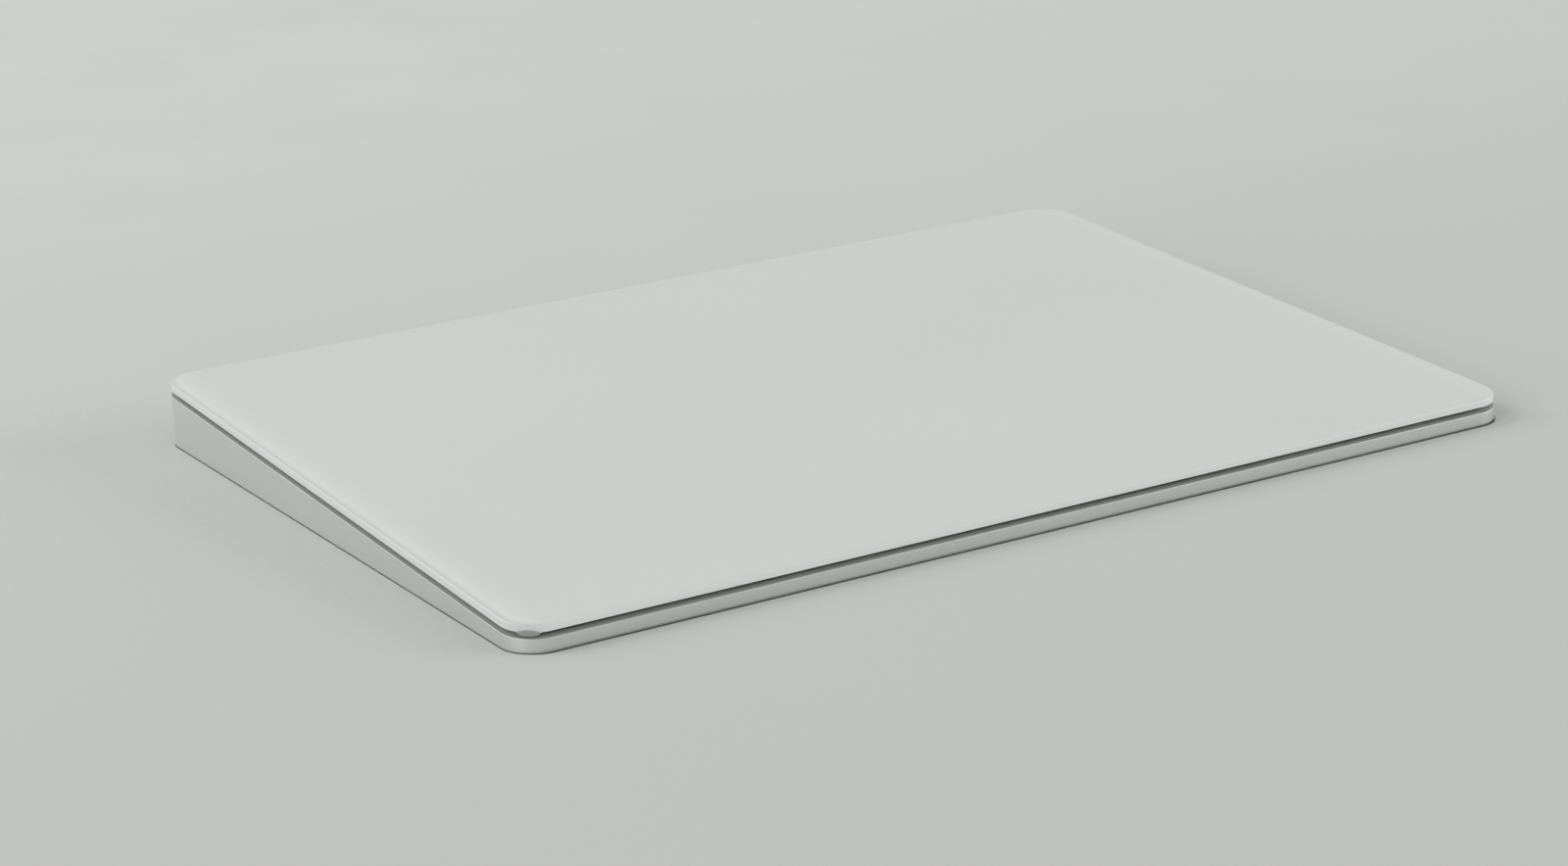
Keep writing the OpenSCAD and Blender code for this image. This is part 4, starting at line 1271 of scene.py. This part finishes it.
@dataclass
class WedgeCase:
    """Machined aluminium tub, open to the touch plate and recessed for the bottom cover.

    seat_places holds x, y, length and height over the slope of a seat on each side, and boss_places
    holds x, y and height of each boss, all in millimetres.
    """

    slope: Slope
    slots: Sequence[WallSlot]
    width: float = CASE_WIDTH
    depth: float = CASE_DEPTH
    corner: float = CASE_CORNER
    lower_edge: float = 0.95 * MM
    wall: float = 1.6 * MM
    underside: float = 0.6 * MM
    recess_top: float = 1.4 * MM
    floor: float = 2.1 * MM
    cover_rim: float = COVER_RIM
    rim: float = -1.9 * MM
    arris: float = 0.05 * MM
    floor_fillet: float = 0.3 * MM
    hold: float = 0.12 * MM
    run_steps: int = 12
    side_stops: int = 25
    corner_steps: int = 32
    edge_steps: int = 12
    arris_steps: int = 6
    root: float = 0.35 * MM
    seat_width: float = 6.0 * MM
    seat_corner: float = 0.2 * MM
    seat_steps: int = 4
    seat_places: Sequence[tuple[float, float, float, float]] = (
        (73.5, 48.86, 6.0, -2.85), (73.5, -48.86, 6.0, -2.85), (27.0, -17.99, 10.0, -4.55),
    )
    boss_r: float = 1.8 * MM
    boss_steps: int = 12
    boss_places: Sequence[tuple[float, float, float]] = (
        (-52.6, -5.59, 2.6), (-52.6, 1.61, 2.6), (52.6, -5.59, 2.6), (52.6, 1.61, 2.6),
        (-17.6, 49.25, 2.5), (12.0, 49.25, 2.5), (51.6, 49.25, 2.5),
    )

    def outline(self) -> Outline:
        """Plan outline, with close stops where the rear wall has slots.

        Returns:
            The outline.
        """
        half_x, half_y = self.width / 2 - self.corner, self.depth / 2 - self.corner
        spans = sorted(slot.span() for slot in self.slots)
        edges = [-half_x] + [value for span in spans for value in span[:2]] + [half_x]
        gaps = [(edges[k], edges[k + 1], self.run_steps) for k in range(0, len(edges), 2)]
        ys = np.linspace(-half_y, half_y, self.side_stops)
        return Outline.through(stops(*gaps, *spans), ys, self.corner_steps)

    def rows(self) -> list[tuple[float, float, float, float, float]]:
        """Profile from the underside of the floor, round the wall, to the top of the floor.

        Each row has a distance from the inner rectangle, a height, the share of the sloping rim's height
        that is added, and the marks of a worn edge, darker by painted shade, and of the matte ledge.

        Returns:
            The rows in order.
        """
        s, c = quarter(self.arris_steps)
        recess, inner = self.corner - self.cover_rim, self.corner - self.wall
        low, edge, fine = self.underside, self.lower_edge, self.arris
        rows = [(0.0, self.recess_top, 0, 0, 0), (recess, self.recess_top, 0, 0, 0)]
        rows += [(recess, low + fine, 0, 0, 0), (recess + fine, low, 0, 1, 0)]
        wall, top = self.corner - edge, low + edge
        rows += [(wall + edge * a, top - edge * b, 0, 0, 0) for a, b in zip(*quarter(self.edge_steps))]
        rows += [(self.corner, top + self.hold, 0, 0, 0), (self.corner, -fine - self.hold, 1, 0, 0)]
        rows += [(self.corner - fine + fine * b, fine * a - fine, 1, 1, 0) for a, b in zip(s, c)]
        rows += [(self.corner - 2 * fine, 0.0, 1, 0, 1)]
        rows += [(inner + fine - fine * a, fine * b - fine, 1, 0, 1) for a, b in zip(s, c)]
        turn = self.floor_fillet
        rows += [(inner, -fine - self.hold, 1, 0, 1), (inner, self.floor + turn + self.hold, 0, 0, 1)]
        rows += [(inner - turn + turn * b, self.floor + turn - turn * a, 0, 0, 1) for a, b in zip(s, c)]
        return rows + [(0.0, self.floor, 0, 0, 0)]

    def surface(self) -> Surface:
        """Carries the profile round the outline, and adds the floor and the rear wall's slotted cells.

        Returns:
            The surface with its marks.
        """
        outline = self.outline()
        table = np.array(self.rows(), float)
        plan = outline.rings(table[:, 0])
        height = table[:, 1, None] + table[:, 2, None] * self.slope.height(plan[..., 1], self.rim)
        points = raised(plan, height)
        wall = int(np.flatnonzero(table[:, 2])[0])
        inner = int(np.flatnonzero(table[:, 2])[-1]) + 1
        keep = np.ones((len(table) - 1, len(outline.anchors)), bool)
        parts = []
        for slot in self.slots:
            first, last = (int(np.argmin(abs(outline.xs - edge))) for edge in slot.span()[:2])
            columns = outline.rear(first, last)
            keep[np.ix_([wall - 1, inner - 1], columns[1:])] = False
            outside, inside = (
                np.concatenate([points[low, columns], points[high, columns[::-1]]])
                for low, high in ((wall - 1, wall), (inner, inner - 1))
            )
            parts.append(slot.surface(outside, inside))
        marks = {Mark.WORN_AND_SHADED: table[:, 3, None], Mark.LEDGE: table[:, 4, None]}
        parts.append(Surface.grid(points, True, keep, marks))
        for level in (self.recess_top, self.floor):
            parts.append(Surface.grid(raised(outline.inside(), level)))
        return Surface.joined(parts)

    def seats(self) -> Iterable[Surface]:
        """Blocks on the floor: sloping seats for the leaves and the drive, round bosses for the boards.

        Each seat's height goes from its root in the floor to a plane that lies over the slope.

        Yields:
            The blocks, one by one.
        """
        root = self.floor - self.root
        corner = self.seat_corner
        for x, y, length, top in self.seat_places:
            outline = Outline.plain(self.seat_width, length * MM, corner, self.seat_steps)

            def level(plan: np.ndarray, share: float, over: float = top * MM) -> np.ndarray:
                """Height between the root and the plane over the slope, by a share from 0 to 1."""
                return share * self.slope.height(plan[..., 1], over) + (1.0 - share) * root

            for side in (-1, 1):
                yield slab(outline, [(corner, 0.0), (corner, 1.0)], level, (side * x * MM, y * MM))
        width, radius = 2 * self.boss_r, self.boss_r - TINY
        outline = Outline.plain(width, width, radius, self.boss_steps)
        for x, y, top in self.boss_places:
            yield slab(outline, [(radius, root), (radius, top * MM)], flat, (x * MM, y * MM))

    def build(self) -> None:
        """Makes the tub with its seats and dresses it."""
        whole = Surface.joined([self.surface(), *self.seats()])
        whole.piece("case_tub", Body.BASE, ["wedge_case"], "anodised_aluminium", ALUMINIUM)


@dataclass
class Underside:
    """Plastic bottom cover with four round seats, and the rubber feet in them."""

    width: float = CASE_WIDTH - 2 * COVER_INSET
    depth: float = CASE_DEPTH - 2 * COVER_INSET
    corner: float = CASE_CORNER - COVER_INSET
    low: float = 0.6 * MM
    high: float = 1.3 * MM
    edge: float = 0.15 * MM
    foot_x: float = 66.0 * MM
    foot_y: float = 43.45 * MM
    foot_r: float = 5.0 * MM
    foot_edge: float = 0.3 * MM
    foot_top: float = 0.9 * MM
    foot_arris: float = 0.05 * MM
    ring_r: float = 3.6 * MM
    ring_w: float = 0.25 * MM
    ring_h: float = 0.05 * MM
    seat_r: float = 5.1 * MM
    reach: float = 7.0 * MM
    steps: int = 16
    end_steps: int = 2
    run_steps: int = 12
    corner_steps: int = 10
    rim_rings: int = 5
    bend_steps: int = 8
    ring_steps: int = 9
    round_steps: int = 96

    def outline(self) -> Outline:
        """Plan outline of the cover, with close stops at the feet.

        Returns:
            The outline.
        """
        half_x, half_y = self.width / 2 - self.corner, self.depth / 2 - self.corner
        axes = []
        for half, foot in ((half_x, self.foot_x), (half_y, self.foot_y)):
            near, far = foot - self.reach, foot + self.reach
            end, cell, run = self.end_steps, self.steps, self.run_steps
            axes.append(stops((-half, -far, end), (-far, -near, cell), (-near, near, run),
                              (near, far, cell), (far, half, end)))
        return Outline.through(*axes, self.corner_steps)

    def seat(self, plan: np.ndarray, cell: tuple[slice, slice]) -> Surface:
        """One cell of the lower face with a round seat in it.

        Rows of points go from the cell's square border to a circle, over its edge and up to the seat's
        flat bottom, where they meet in the middle.

        Args:
            plan: Grid of the lower face.
            cell: Rows and columns of the cell.

        Returns:
            The surface.
        """
        block = plan[cell]
        border = np.concatenate([block[0, :-1], block[:-1, -1], block[-1, :0:-1], block[:0:-1, 0]])
        middle = block.mean(axis=(0, 1))
        turn = np.arctan2(*(border - middle).T[::-1])
        ray = np.stack([np.cos(turn), np.sin(turn)], axis=-1)
        rim = ring_between(border, middle + (self.seat_r + self.edge) * ray, self.rim_rings)
        top = self.foot_top
        radii = np.array([self.seat_r, self.seat_r, self.seat_r - self.edge, TINY])
        levels = np.array([self.low + self.edge, top - self.edge, top, top])
        well = raised(middle + radii[:, None, None] * ray[None], levels[:, None])
        return Surface.grid(np.concatenate([raised(rim, self.low), well]), True)

    def cover(self) -> Surface:
        """Carries a soft-edged profile round the outline, with a plain upper and a seated lower face.

        Returns:
            The surface.
        """
        outline = self.outline()
        edge = soft_rows(self.corner, self.low, self.high, self.edge)
        offsets, heights = np.array([(0.0, self.low), *edge, (0.0, self.high)]).T
        parts = [Surface.grid(raised(outline.rings(offsets), heights[:, None]), True)]
        plan = outline.inside()
        parts.append(Surface.grid(raised(plan, self.high)))
        keep = np.ones((plan.shape[0] - 1, plan.shape[1] - 1), bool)
        last = self.end_steps + self.steps + 1
        for column in (self.end_steps, len(outline.xs) - last):
            for row in (self.end_steps, len(outline.ys) - last):
                keep[row:row + self.steps, column:column + self.steps] = False
                cell = (slice(row, row + self.steps + 1), slice(column, column + self.steps + 1))
                parts.append(self.seat(plan, cell))
        parts.append(Surface.grid(raised(plan, self.low), keep=keep))
        return Surface.joined(parts)

    def foot(self, x: float, y: float) -> Surface:
        """Disc with a soft lower edge and a shallow moulded ring, turned about an upright axis.

        Args:
            x: Place of the axis along X.
            y: Place of the axis along Y.

        Returns:
            The closed surface.
        """
        s, c = quarter(self.bend_steps)
        ring = np.linspace(0.0, math.pi, self.ring_steps)
        bend, top, fine = self.foot_edge, self.foot_top, self.foot_arris
        radius = np.concatenate([
            [TINY], self.ring_r - self.ring_w * np.cos(ring), self.foot_r - bend + bend * s,
            [self.foot_r, self.foot_r - fine, TINY],
        ])
        height = np.concatenate([
            [0.0], self.ring_h * np.sin(ring), bend - bend * c, [top - fine, top, top],
        ])
        turn = np.linspace(0.0, 2 * math.pi, self.round_steps + 1)[:-1]
        ray = np.stack([np.cos(turn), np.sin(turn)], axis=-1)
        plan = np.array([x, y]) + radius[:, None, None] * ray[None]
        return Surface.grid(raised(plan, height[:, None]), True)

    def build(self) -> None:
        """Makes the cover and the feet and dresses them."""
        cover = self.cover()
        cover.piece("underside_cover", Body.BASE, ["bottom_cover"], "white_plastic", WHITE_PLASTIC)
        for end, sy in (("front", -1), ("rear", 1)):
            for side, sx in (("left", -1), ("right", 1)):
                disc = self.foot(sx * self.foot_x, sy * self.foot_y)
                name = f"{end}_{side}"
                disc.piece(f"pad_{name}", Body.BASE, [f"foot_{name}"], "foot_rubber", FOOT_RUBBER)


@dataclass
class ChargeSocket:
    """Charging socket: a drawn steel shell, a plastic tongue in it and the contacts on the tongue."""

    z: float = REAR_LEVEL
    mouth: float = 57.2 * MM
    back: float = 49.8 * MM
    width: float = 8.94 * MM
    height: float = 3.16 * MM
    wall: float = 0.3 * MM
    block: float = 2.4 * MM
    fit: float = 0.03 * MM
    tongue_w: float = 6.69 * MM
    tongue_t: float = 0.7 * MM
    tongue_l: float = 4.45 * MM
    tongue_corner: float = 0.18 * MM
    tongue_root: float = 0.2 * MM
    block_bevel: float = 0.1 * MM
    tip_l: float = 0.35 * MM
    tip_r: float = 0.06 * MM
    contacts: int = 12
    pitch: float = 0.5 * MM
    contact_w: float = 0.25 * MM
    contact_l: float = 3.6 * MM
    contact_t: float = 0.06 * MM
    contact_bevel: float = 0.03 * MM
    contact_tip: float = 0.6
    loop_points: int = 40
    lip_steps: int = 9
    tongue_steps: int = 6
    clear: float = 0.1 * MM

    def opening(self) -> WallSlot:
        """Slot in the rear wall round the shell."""
        room = 2 * self.clear
        return WallSlot(x=0.0, z=self.z, length=self.width + room, height=self.height + room)

    def carried(self, rows: Rows) -> Surface:
        """Carries a slot outline with round ends along Y, drawn in by each row's amount.

        Args:
            rows: How far the outline is drawn in from the shell's outside, and the place along Y.

        Returns:
            The surface, closed where its first and last rows meet or shrink to a line.
        """
        loops = []
        for inset, y in rows:
            loop = stadium(self.width - 2 * inset, self.height - 2 * inset, self.loop_points)
            loops.append(np.stack([loop[:, 0], np.full(len(loop), y), self.z + loop[:, 1]], axis=-1))
        return Surface.grid(np.stack(loops), True)

    def shell(self) -> Surface:
        """Tube with a rounded lip: out along the outside, round the lip and back along the inside.

        Returns:
            The closed surface.
        """
        turn = np.linspace(0.0, math.pi, self.lip_steps)
        half = self.wall / 2
        lip = list(zip(half - half * np.cos(turn), self.mouth - half + half * np.sin(turn)))
        return self.carried([(0.0, self.back), *lip, (self.wall, self.back), (0.0, self.back)])

    def tongue(self) -> Surface:
        """Block that fills the back of the shell, and a slab with a bevelled tip.

        Returns:
            Both closed surfaces in one.
        """
        front, inset, bevel = self.back + self.block, self.wall + self.fit, self.block_bevel
        middle = self.height / 2 - TINY
        body = self.carried([(middle, self.back), (inset, self.back), (inset, front - bevel),
                             (inset + bevel, front), (middle, front)])
        corner, tip = self.tongue_corner, front + self.tongue_l
        outline = Outline.plain(self.tongue_w, self.tongue_t, corner, self.tongue_steps)
        root, neck = front - self.tongue_root, tip - self.tip_l
        rows = [(corner, root), (corner, neck), (self.tip_r, tip), (0.0, tip)]
        upright = slab(outline, rows, flat)
        x, z, y = upright.points.T
        upright.points = np.stack([x, y, self.z + z], axis=-1)
        return Surface.joined([body, upright])

    def strips(self) -> Surface:
        """Contacts in two rows: one small bevelled strip repeated along the tongue's faces.

        Returns:
            All the strips in one.
        """
        front, bevel = self.back + self.block, self.contact_bevel
        half_w, top = self.contact_w / 2, self.contact_t
        across = np.array([-half_w, -half_w, -half_w + bevel, half_w - bevel, half_w, half_w])
        up = np.array([0.0, top - bevel, top, top, top - bevel, 0.0])
        along = np.array([0.0, self.contact_l - bevel, self.contact_l])
        draw = np.array([1.0, 1.0, self.contact_tip])
        grids = np.broadcast_arrays(across[None], front + along[:, None], up[None] * draw[:, None])
        strip = capped(np.stack(grids, axis=-1))
        places = (np.arange(self.contacts) - (self.contacts - 1) / 2) * self.pitch
        parts = []
        for side in (1, -1):
            face = self.z + side * self.tongue_t / 2
            parts += [Surface.grid(strip * (1, 1, side) + (x, 0, face), True) for x in places]
        return Surface.joined(parts)

    def build(self) -> None:
        """Makes the socket's three pieces and dresses them."""
        self.shell().piece("socket_shell", Body.BASE, ["port_shell"], "bright_steel", BRIGHT_STEEL)
        self.tongue().piece("socket_tongue", Body.BASE, ["port_tongue"], "black_plastic", BLACK_PLASTIC)
        self.strips().piece("socket_contacts", Body.BASE, ["port_contacts"], "gold_plate", GOLD)


@dataclass
class PowerSwitch:
    """Sliding power switch: a ridged knob in its slot, with a flange and a fork behind the wall."""

    x: float = 47.1 * MM
    z: float = REAR_LEVEL
    face: float = 57.35 * MM
    length: float = 5.4 * MM
    height: float = 2.36 * MM
    flange: float = 55.25 * MM
    flange_t: float = 0.4 * MM
    flange_l: float = 11.48 * MM
    flange_h: float = 3.8 * MM
    grooves: int = 6
    pitch: float = 0.6 * MM
    groove: float = 0.25 * MM
    depth: float = 0.125 * MM
    edge: float = 0.18 * MM
    plate_corner: float = 0.12 * MM
    plate_edge: float = 0.06 * MM
    prong_x: float = 1.22 * MM
    prong_w: float = 0.7 * MM
    prong_h: float = 1.5 * MM
    prong_l: float = 0.45 * MM
    prong_root: float = 0.2 * MM
    end_steps: int = 15
    run_stops: int = 181
    edge_steps: int = 6
    plate_steps: int = 5
    plate_edge_steps: int = 4
    travel: float = 2.2 * MM
    clear: float = 0.12 * MM

    def opening(self) -> WallSlot:
        """Slot in the rear wall round the knob, with room for its travel towards -X.

        Returns:
            The slot.
        """
        room = 2 * self.clear
        length, middle = self.length + self.travel + room, self.x - self.travel / 2
        return WallSlot(x=middle, z=self.z, length=length, height=self.height + room)

    def knob(self) -> Surface:
        """Knob as loops carried along X.

        The half height at x is that of a slot with round ends. Each loop is a rectangle from the flange
        to the face with rounded outer edges, and the face sinks by the grooves' rounded profile.

        Returns:
            The closed surface.
        """
        half = self.length / 2
        radius = self.height / 2
        bend = np.linspace(0.0, math.pi / 2, self.end_steps)
        cap = half - radius + radius * np.sin(bend[::-1])
        mid = np.linspace(-(half - radius), half - radius, self.run_stops)
        x = np.unique(np.round(np.concatenate([-cap, mid, cap]), STOP_DIGITS))
        over = np.clip(abs(x) - (half - radius), 0.0, radius)
        tall = np.sqrt(np.clip(radius**2 - over**2, 0.0, None))
        centres = (np.arange(self.grooves) - (self.grooves - 1) / 2) * self.pitch
        near = np.min(abs(x[:, None] - centres[None]), axis=1) / (self.groove / 2)
        sunk = self.depth * np.sqrt(np.clip(1.0 - near**2, 0.0, None))
        s, c = quarter(self.edge_steps)
        soft = np.minimum(self.edge, tall)[:, None]
        face = (self.face - sunk)[:, None]
        z_up = np.concatenate([tall[:, None] - soft + soft * c[None], np.zeros((len(x), 1))], axis=1)
        y_up = np.concatenate([face - soft + soft * s[None], face], axis=1)
        z = np.concatenate([tall[:, None], z_up, -z_up[:, -2::-1], -tall[:, None]], axis=1)
        y = np.concatenate([np.full((len(x), 1), self.flange), y_up, y_up[:, -2::-1],
                            np.full((len(x), 1), self.flange)], axis=1)
        points = np.stack([np.broadcast_to(self.x + x[:, None], y.shape), y, self.z + z], axis=-1)
        return Surface.grid(points, True)

    def plate(self, x: float, width: float, height: float, low: float, high: float) -> Surface:
        """Small upright block with soft edges.

        Args:
            x: Place of its middle along X, from the knob's middle.
            width: Size along X.
            height: Size along Z.
            low: Place along Y where it starts.
            high: Place along Y where it ends.

        Returns:
            The closed surface.
        """
        corner = self.plate_corner
        outline = Outline.plain(width, height, corner, self.plate_steps)
        made = slab(outline, soft_rows(corner, low, high, self.plate_edge, self.plate_edge_steps), flat)
        across, up, y = made.points.T
        made.points = np.stack([self.x + x + across, y, self.z + up], axis=-1)
        return made

    def build(self) -> None:
        """Makes the knob with its flange and fork and dresses it."""
        back, front = self.flange, self.flange + self.flange_t
        parts = [self.knob(), self.plate(0.0, self.flange_l, self.flange_h, back, front)]
        tip, root = back - self.prong_l, back + self.prong_root
        for x in (-self.prong_x, self.prong_x):
            parts.append(self.plate(x, self.prong_w, self.prong_h, tip, root))
        slider = Surface.joined(parts)
        slider.piece("switch_slider", Body.SWITCH, ["switch_knob"], "white_plastic", WHITE_PLASTIC)


@dataclass
class TouchCable:
    """Flat cable in a slack loop from the main board's connector up to the touch plate's plug."""

    start: float = 18.5 * MM
    bend_x: float = 26.0 * MM
    y: float = -1.989 * MM
    width: float = 5.0 * MM
    low: float = 4.2 * MM
    high: float = 5.2 * MM
    thick: float = 0.12 * MM
    steps: int = 25
    press: float = 0.2 * MM

    def surface(self) -> Surface:
        """Carries a flat rectangle along the lower run, round half a circle and along the upper run.

        Returns:
            The closed surface.
        """
        radius, middle = (self.high - self.low) / 2, (self.high + self.low) / 2
        turn = np.linspace(-math.pi / 2, math.pi / 2, self.steps)
        turn = np.concatenate([turn[:1], turn, turn[-1:]])
        along = np.full(len(turn), self.bend_x)
        along[[0, -1]] = self.start
        ray = np.stack([np.cos(turn), np.zeros_like(turn), np.sin(turn)], axis=-1)
        path = np.stack([along, np.full_like(along, self.y), np.full_like(along, middle)], axis=-1)
        wide = np.array([0.0, self.width / 2, 0.0])
        inner, outer = path + (radius - self.thick) * ray, path + radius * ray
        band = np.stack([outer - wide, outer + wide, inner + wide, inner - wide], axis=1)
        return Surface.grid(capped(band), True)

    def build(self) -> None:
        """Makes the loop and gives it a mesh of its own."""
        made = self.surface().piece("touch_loop", Body.TOUCH, ["touch_flex"], "cable_film", FILM_X)
        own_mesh(made)


@dataclass
class InnerWorks:
    """Pieces inside the case, which keep their solids and get their finishes here."""

    def finishes(self) -> dict[Finish, str]:
        """Says which finish each node gets that keeps its solid.

        Returns:
            Names of the nodes by finish, as words in a line.
        """
        return {
            TAPE: "cover_adhesive battery_tape",
            BOND: "glass_adhesive",
            SENSOR_LAMINATE: "touch_sensor_board",
            LAMINATE: "main_board battery_board io_board",
            PLATE_STEEL: "support_plate haptic_bracket",
            SPRING_STEEL: "flexure_front_left flexure_front_right flexure_rear_left flexure_rear_right",
            SCREW_STEEL: "flexure_screws haptic_screws board_screws io_screws",
            BRIGHT_STEEL: "shield_can",
            CORE_IRON: "haptic_core_left haptic_core_right haptic_rail_left haptic_rail_right",
            COIL_WIRE: "haptic_coil_left haptic_coil_right",
            COPPER_STRIP: "antenna_strip",
            GEL: "gel_pads",
            CHIP_RESIN: "touch_controller_chip processor_chip radio_chip charge_chip haptic_driver_chip"
                        " force_amplifier_chip",
            BLACK_PLASTIC: "antenna_carrier antenna_lead switch_body",
            CONNECTOR: "touch_plug haptic_connector touch_connector battery_connector io_connector"
                       " io_plug",
            FILM_X: "strain_gauges io_flex",
            FILM_Y: "haptic_flex battery_lead",
            FOIL: "battery_cell",
            WHITE_PLASTIC: "switch_actuator",
            GREEN_FILM: "switch_indicator",
        }

    def build(self) -> None:
        """Dresses each solid."""
        for finish, names in self.finishes().items():
            for name in names.split():
                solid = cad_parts[name].data
                solid.materials.clear()
                solid.materials.append(material_of(finish))
            log.info("%s on %s", finish.name, names)


# Studio


@dataclass(frozen=True)
class Softbox:
    """Square lamp that faces the object.

    level is the share of plain white that it gives to a white surface that faces it.
    """

    name: str
    place: tuple[float, float, float]
    size: float
    level: float
    colour: Colour = (1.0, 1.0, 1.0)

    def build(self) -> None:
        """Makes the lamp and turns it to the object."""
        light = bpy.data.lights.new(self.name, "AREA")
        light.size = self.size
        light.color = self.colour
        away = np.linalg.norm(self.place)
        light.energy = self.level * math.pi**2 * away**2
        made = bpy.data.objects.new(self.name, light)
        made.matrix_world = Matrix.Translation(self.place) @ aim(-np.array(self.place)).to_4x4()
        made.visible_camera = False
        bpy.context.scene.collection.objects.link(made)


def aim(ahead: np.ndarray, roll: float = 0.0) -> Matrix:
    """Turn that points -Z ahead with Y upwards, then rolls about the line of sight.

    Args:
        ahead: Direction to look in.
        roll: Angle in radians.

    Returns:
        The rotation.
    """
    ahead = np.array(ahead, float) / np.linalg.norm(ahead)
    right = np.cross(ahead, (0.0, 0.0, 1.0))
    right /= np.linalg.norm(right)
    up = np.cross(right, ahead)
    across = math.cos(roll) * right + math.sin(roll) * up
    over = math.cos(roll) * up - math.sin(roll) * right
    return Matrix(np.stack([across, over, -ahead], axis=1).tolist())


@dataclass
class Studio:
    """Pale floor, soft light and the camera."""

    eye: tuple[float, float, float] = (-275.07 * MM, -460.61 * MM, 168.78 * MM)
    azimuth: float = math.radians(30.187)
    elevation: float = math.radians(17.365)
    roll: float = math.radians(-2.53)
    lens: float = 88.19
    sensor: float = 36.0
    clip: tuple[float, float] = (0.01, 50.0)
    sky: Colour = (1.0, 1.0, 1.0)
    sky_level: float = 0.61
    width: float = CASE_WIDTH
    depth: float = CASE_DEPTH
    corner: float = CASE_CORNER
    floor_reach: float = 4.0
    floor_start: float = 0.1 * MM
    floor_rings: int = 40
    floor_stops: tuple[int, int, int] = (17, 13, 24)
    lip_steps: int = 9
    nap: float = 1.60 * MM
    dip: float = 0.40 * MM
    dip_reach: float = 1.5 * MM
    lip: float = 0.5 * MM
    lip_left: float = 0.02 * MM
    clear: float = 0.03 * MM
    lamps: Sequence[Softbox] = (
        Softbox("window", (-1.4, 1.4, 1.2), 1.4, 0.325),
        Softbox("side", (-2.1, -0.5, 0.4), 1.4, 0.31),
        Softbox("fill", (2.0, -1.1, 0.4), 1.4, 0.455),
    )

    def camera(self) -> None:
        """Makes the camera at the photograph's place."""
        level, sink = math.cos(self.elevation), math.sin(self.elevation)
        ahead = np.array([math.sin(self.azimuth) * level, math.cos(self.azimuth) * level, -sink])
        data = bpy.data.cameras.new("camera")
        data.sensor_fit, data.sensor_width, data.lens = "HORIZONTAL", self.sensor, self.lens
        data.clip_start, data.clip_end = self.clip
        made = bpy.data.objects.new("camera", data)
        made.matrix_world = Matrix.Translation(self.eye) @ aim(ahead, self.roll).to_4x4()
        bpy.context.scene.collection.objects.link(made)
        bpy.context.scene.camera = made

    def floor(self) -> None:
        """Makes the floor of soft felt: level all round, and pressed flat under the object.

        A profile is carried round the object's outline: flat at height 0 under it, up beside its wall,
        over a round lip, which is smallest on the left, and out to the floor's end at the height
        nap - dip * exp(-distance / dip_reach).
        """
        half_x, half_y = self.width / 2 - self.corner, self.depth / 2 - self.corner
        across, along, arc = self.floor_stops
        xs, ys = np.linspace(-half_x, half_x, across), np.linspace(-half_y, half_y, along)
        outline = Outline.through(xs, ys, arc)
        left = np.clip(-outline.outward[:, 0], 0.0, 1.0)
        lip = self.lip_left * left + self.lip * (1.0 - left)
        s, c = (values[:, None] for values in quarter(self.lip_steps))
        out = np.geomspace(self.floor_start, self.floor_reach, self.floor_rings)[:, None]
        nil = np.zeros((1, len(left)))
        side = self.corner + self.clear
        offsets = np.concatenate([nil, nil + side, side + lip - lip * c, side + lip + out])
        risen = self.nap - self.dip * np.exp(-out / self.dip_reach) + nil
        heights = np.concatenate([nil, nil, self.nap - self.dip - lip + lip * s, risen])
        plan = outline.anchors[None] + offsets[..., None] * outline.outward[None]
        around = Surface.grid(raised(plan, heights), True)
        surface = Surface.joined([around, Surface.grid(raised(outline.inside(), 0.0))])
        mesh = bpy.data.meshes.new("floor")
        mesh.from_pydata(surface.points, [], surface.triangles)
        mesh.materials.append(material_of(FLOOR))
        made = bpy.data.objects.new("floor", mesh)
        bpy.context.scene.collection.objects.link(made)
        made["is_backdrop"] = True

    def light(self) -> None:
        """Makes the even sky and the lamps."""
        world = bpy.data.worlds.new("sky")
        world.use_nodes = True
        sky = world.node_tree.nodes["Background"].inputs
        sky["Color"].default_value = (*self.sky, 1.0)
        sky["Strength"].default_value = self.sky_level
        bpy.context.scene.world = world
        for lamp in self.lamps:
            lamp.build()

    def build(self) -> None:
        """Sets up the floor, the light, the camera and the plain view of colours."""
        bpy.context.scene.view_settings.view_transform = "Standard"
        self.camera()
        self.floor()
        self.light()


def write_sizes() -> None:
    """Gathers the box of the solids and the box of the dressed part as plain lists, which are not kept.
    """
    boxes = {"cad": SOLID_BOX, "visual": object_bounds()}
    {name: [list(corner) for corner in box] for name, box in boxes.items()}


def main() -> None:
    """Builds the studio and each sub-assembly in order."""
    logging.basicConfig(level=logging.INFO, format="%(name)s: %(message)s")
    slope, socket, switch = Slope(), ChargeSocket(), PowerSwitch()
    case = WedgeCase(slope, [socket.opening(), switch.opening()])
    outside = [TouchGlass(slope), case, Underside(), socket, switch]
    for part in (Studio(), *outside, TouchCable(), InnerWorks()):
        part.build()
        log.info("%s is done", type(part).__name__)
    write_sizes()


if __name__ == "__main__":
    main()
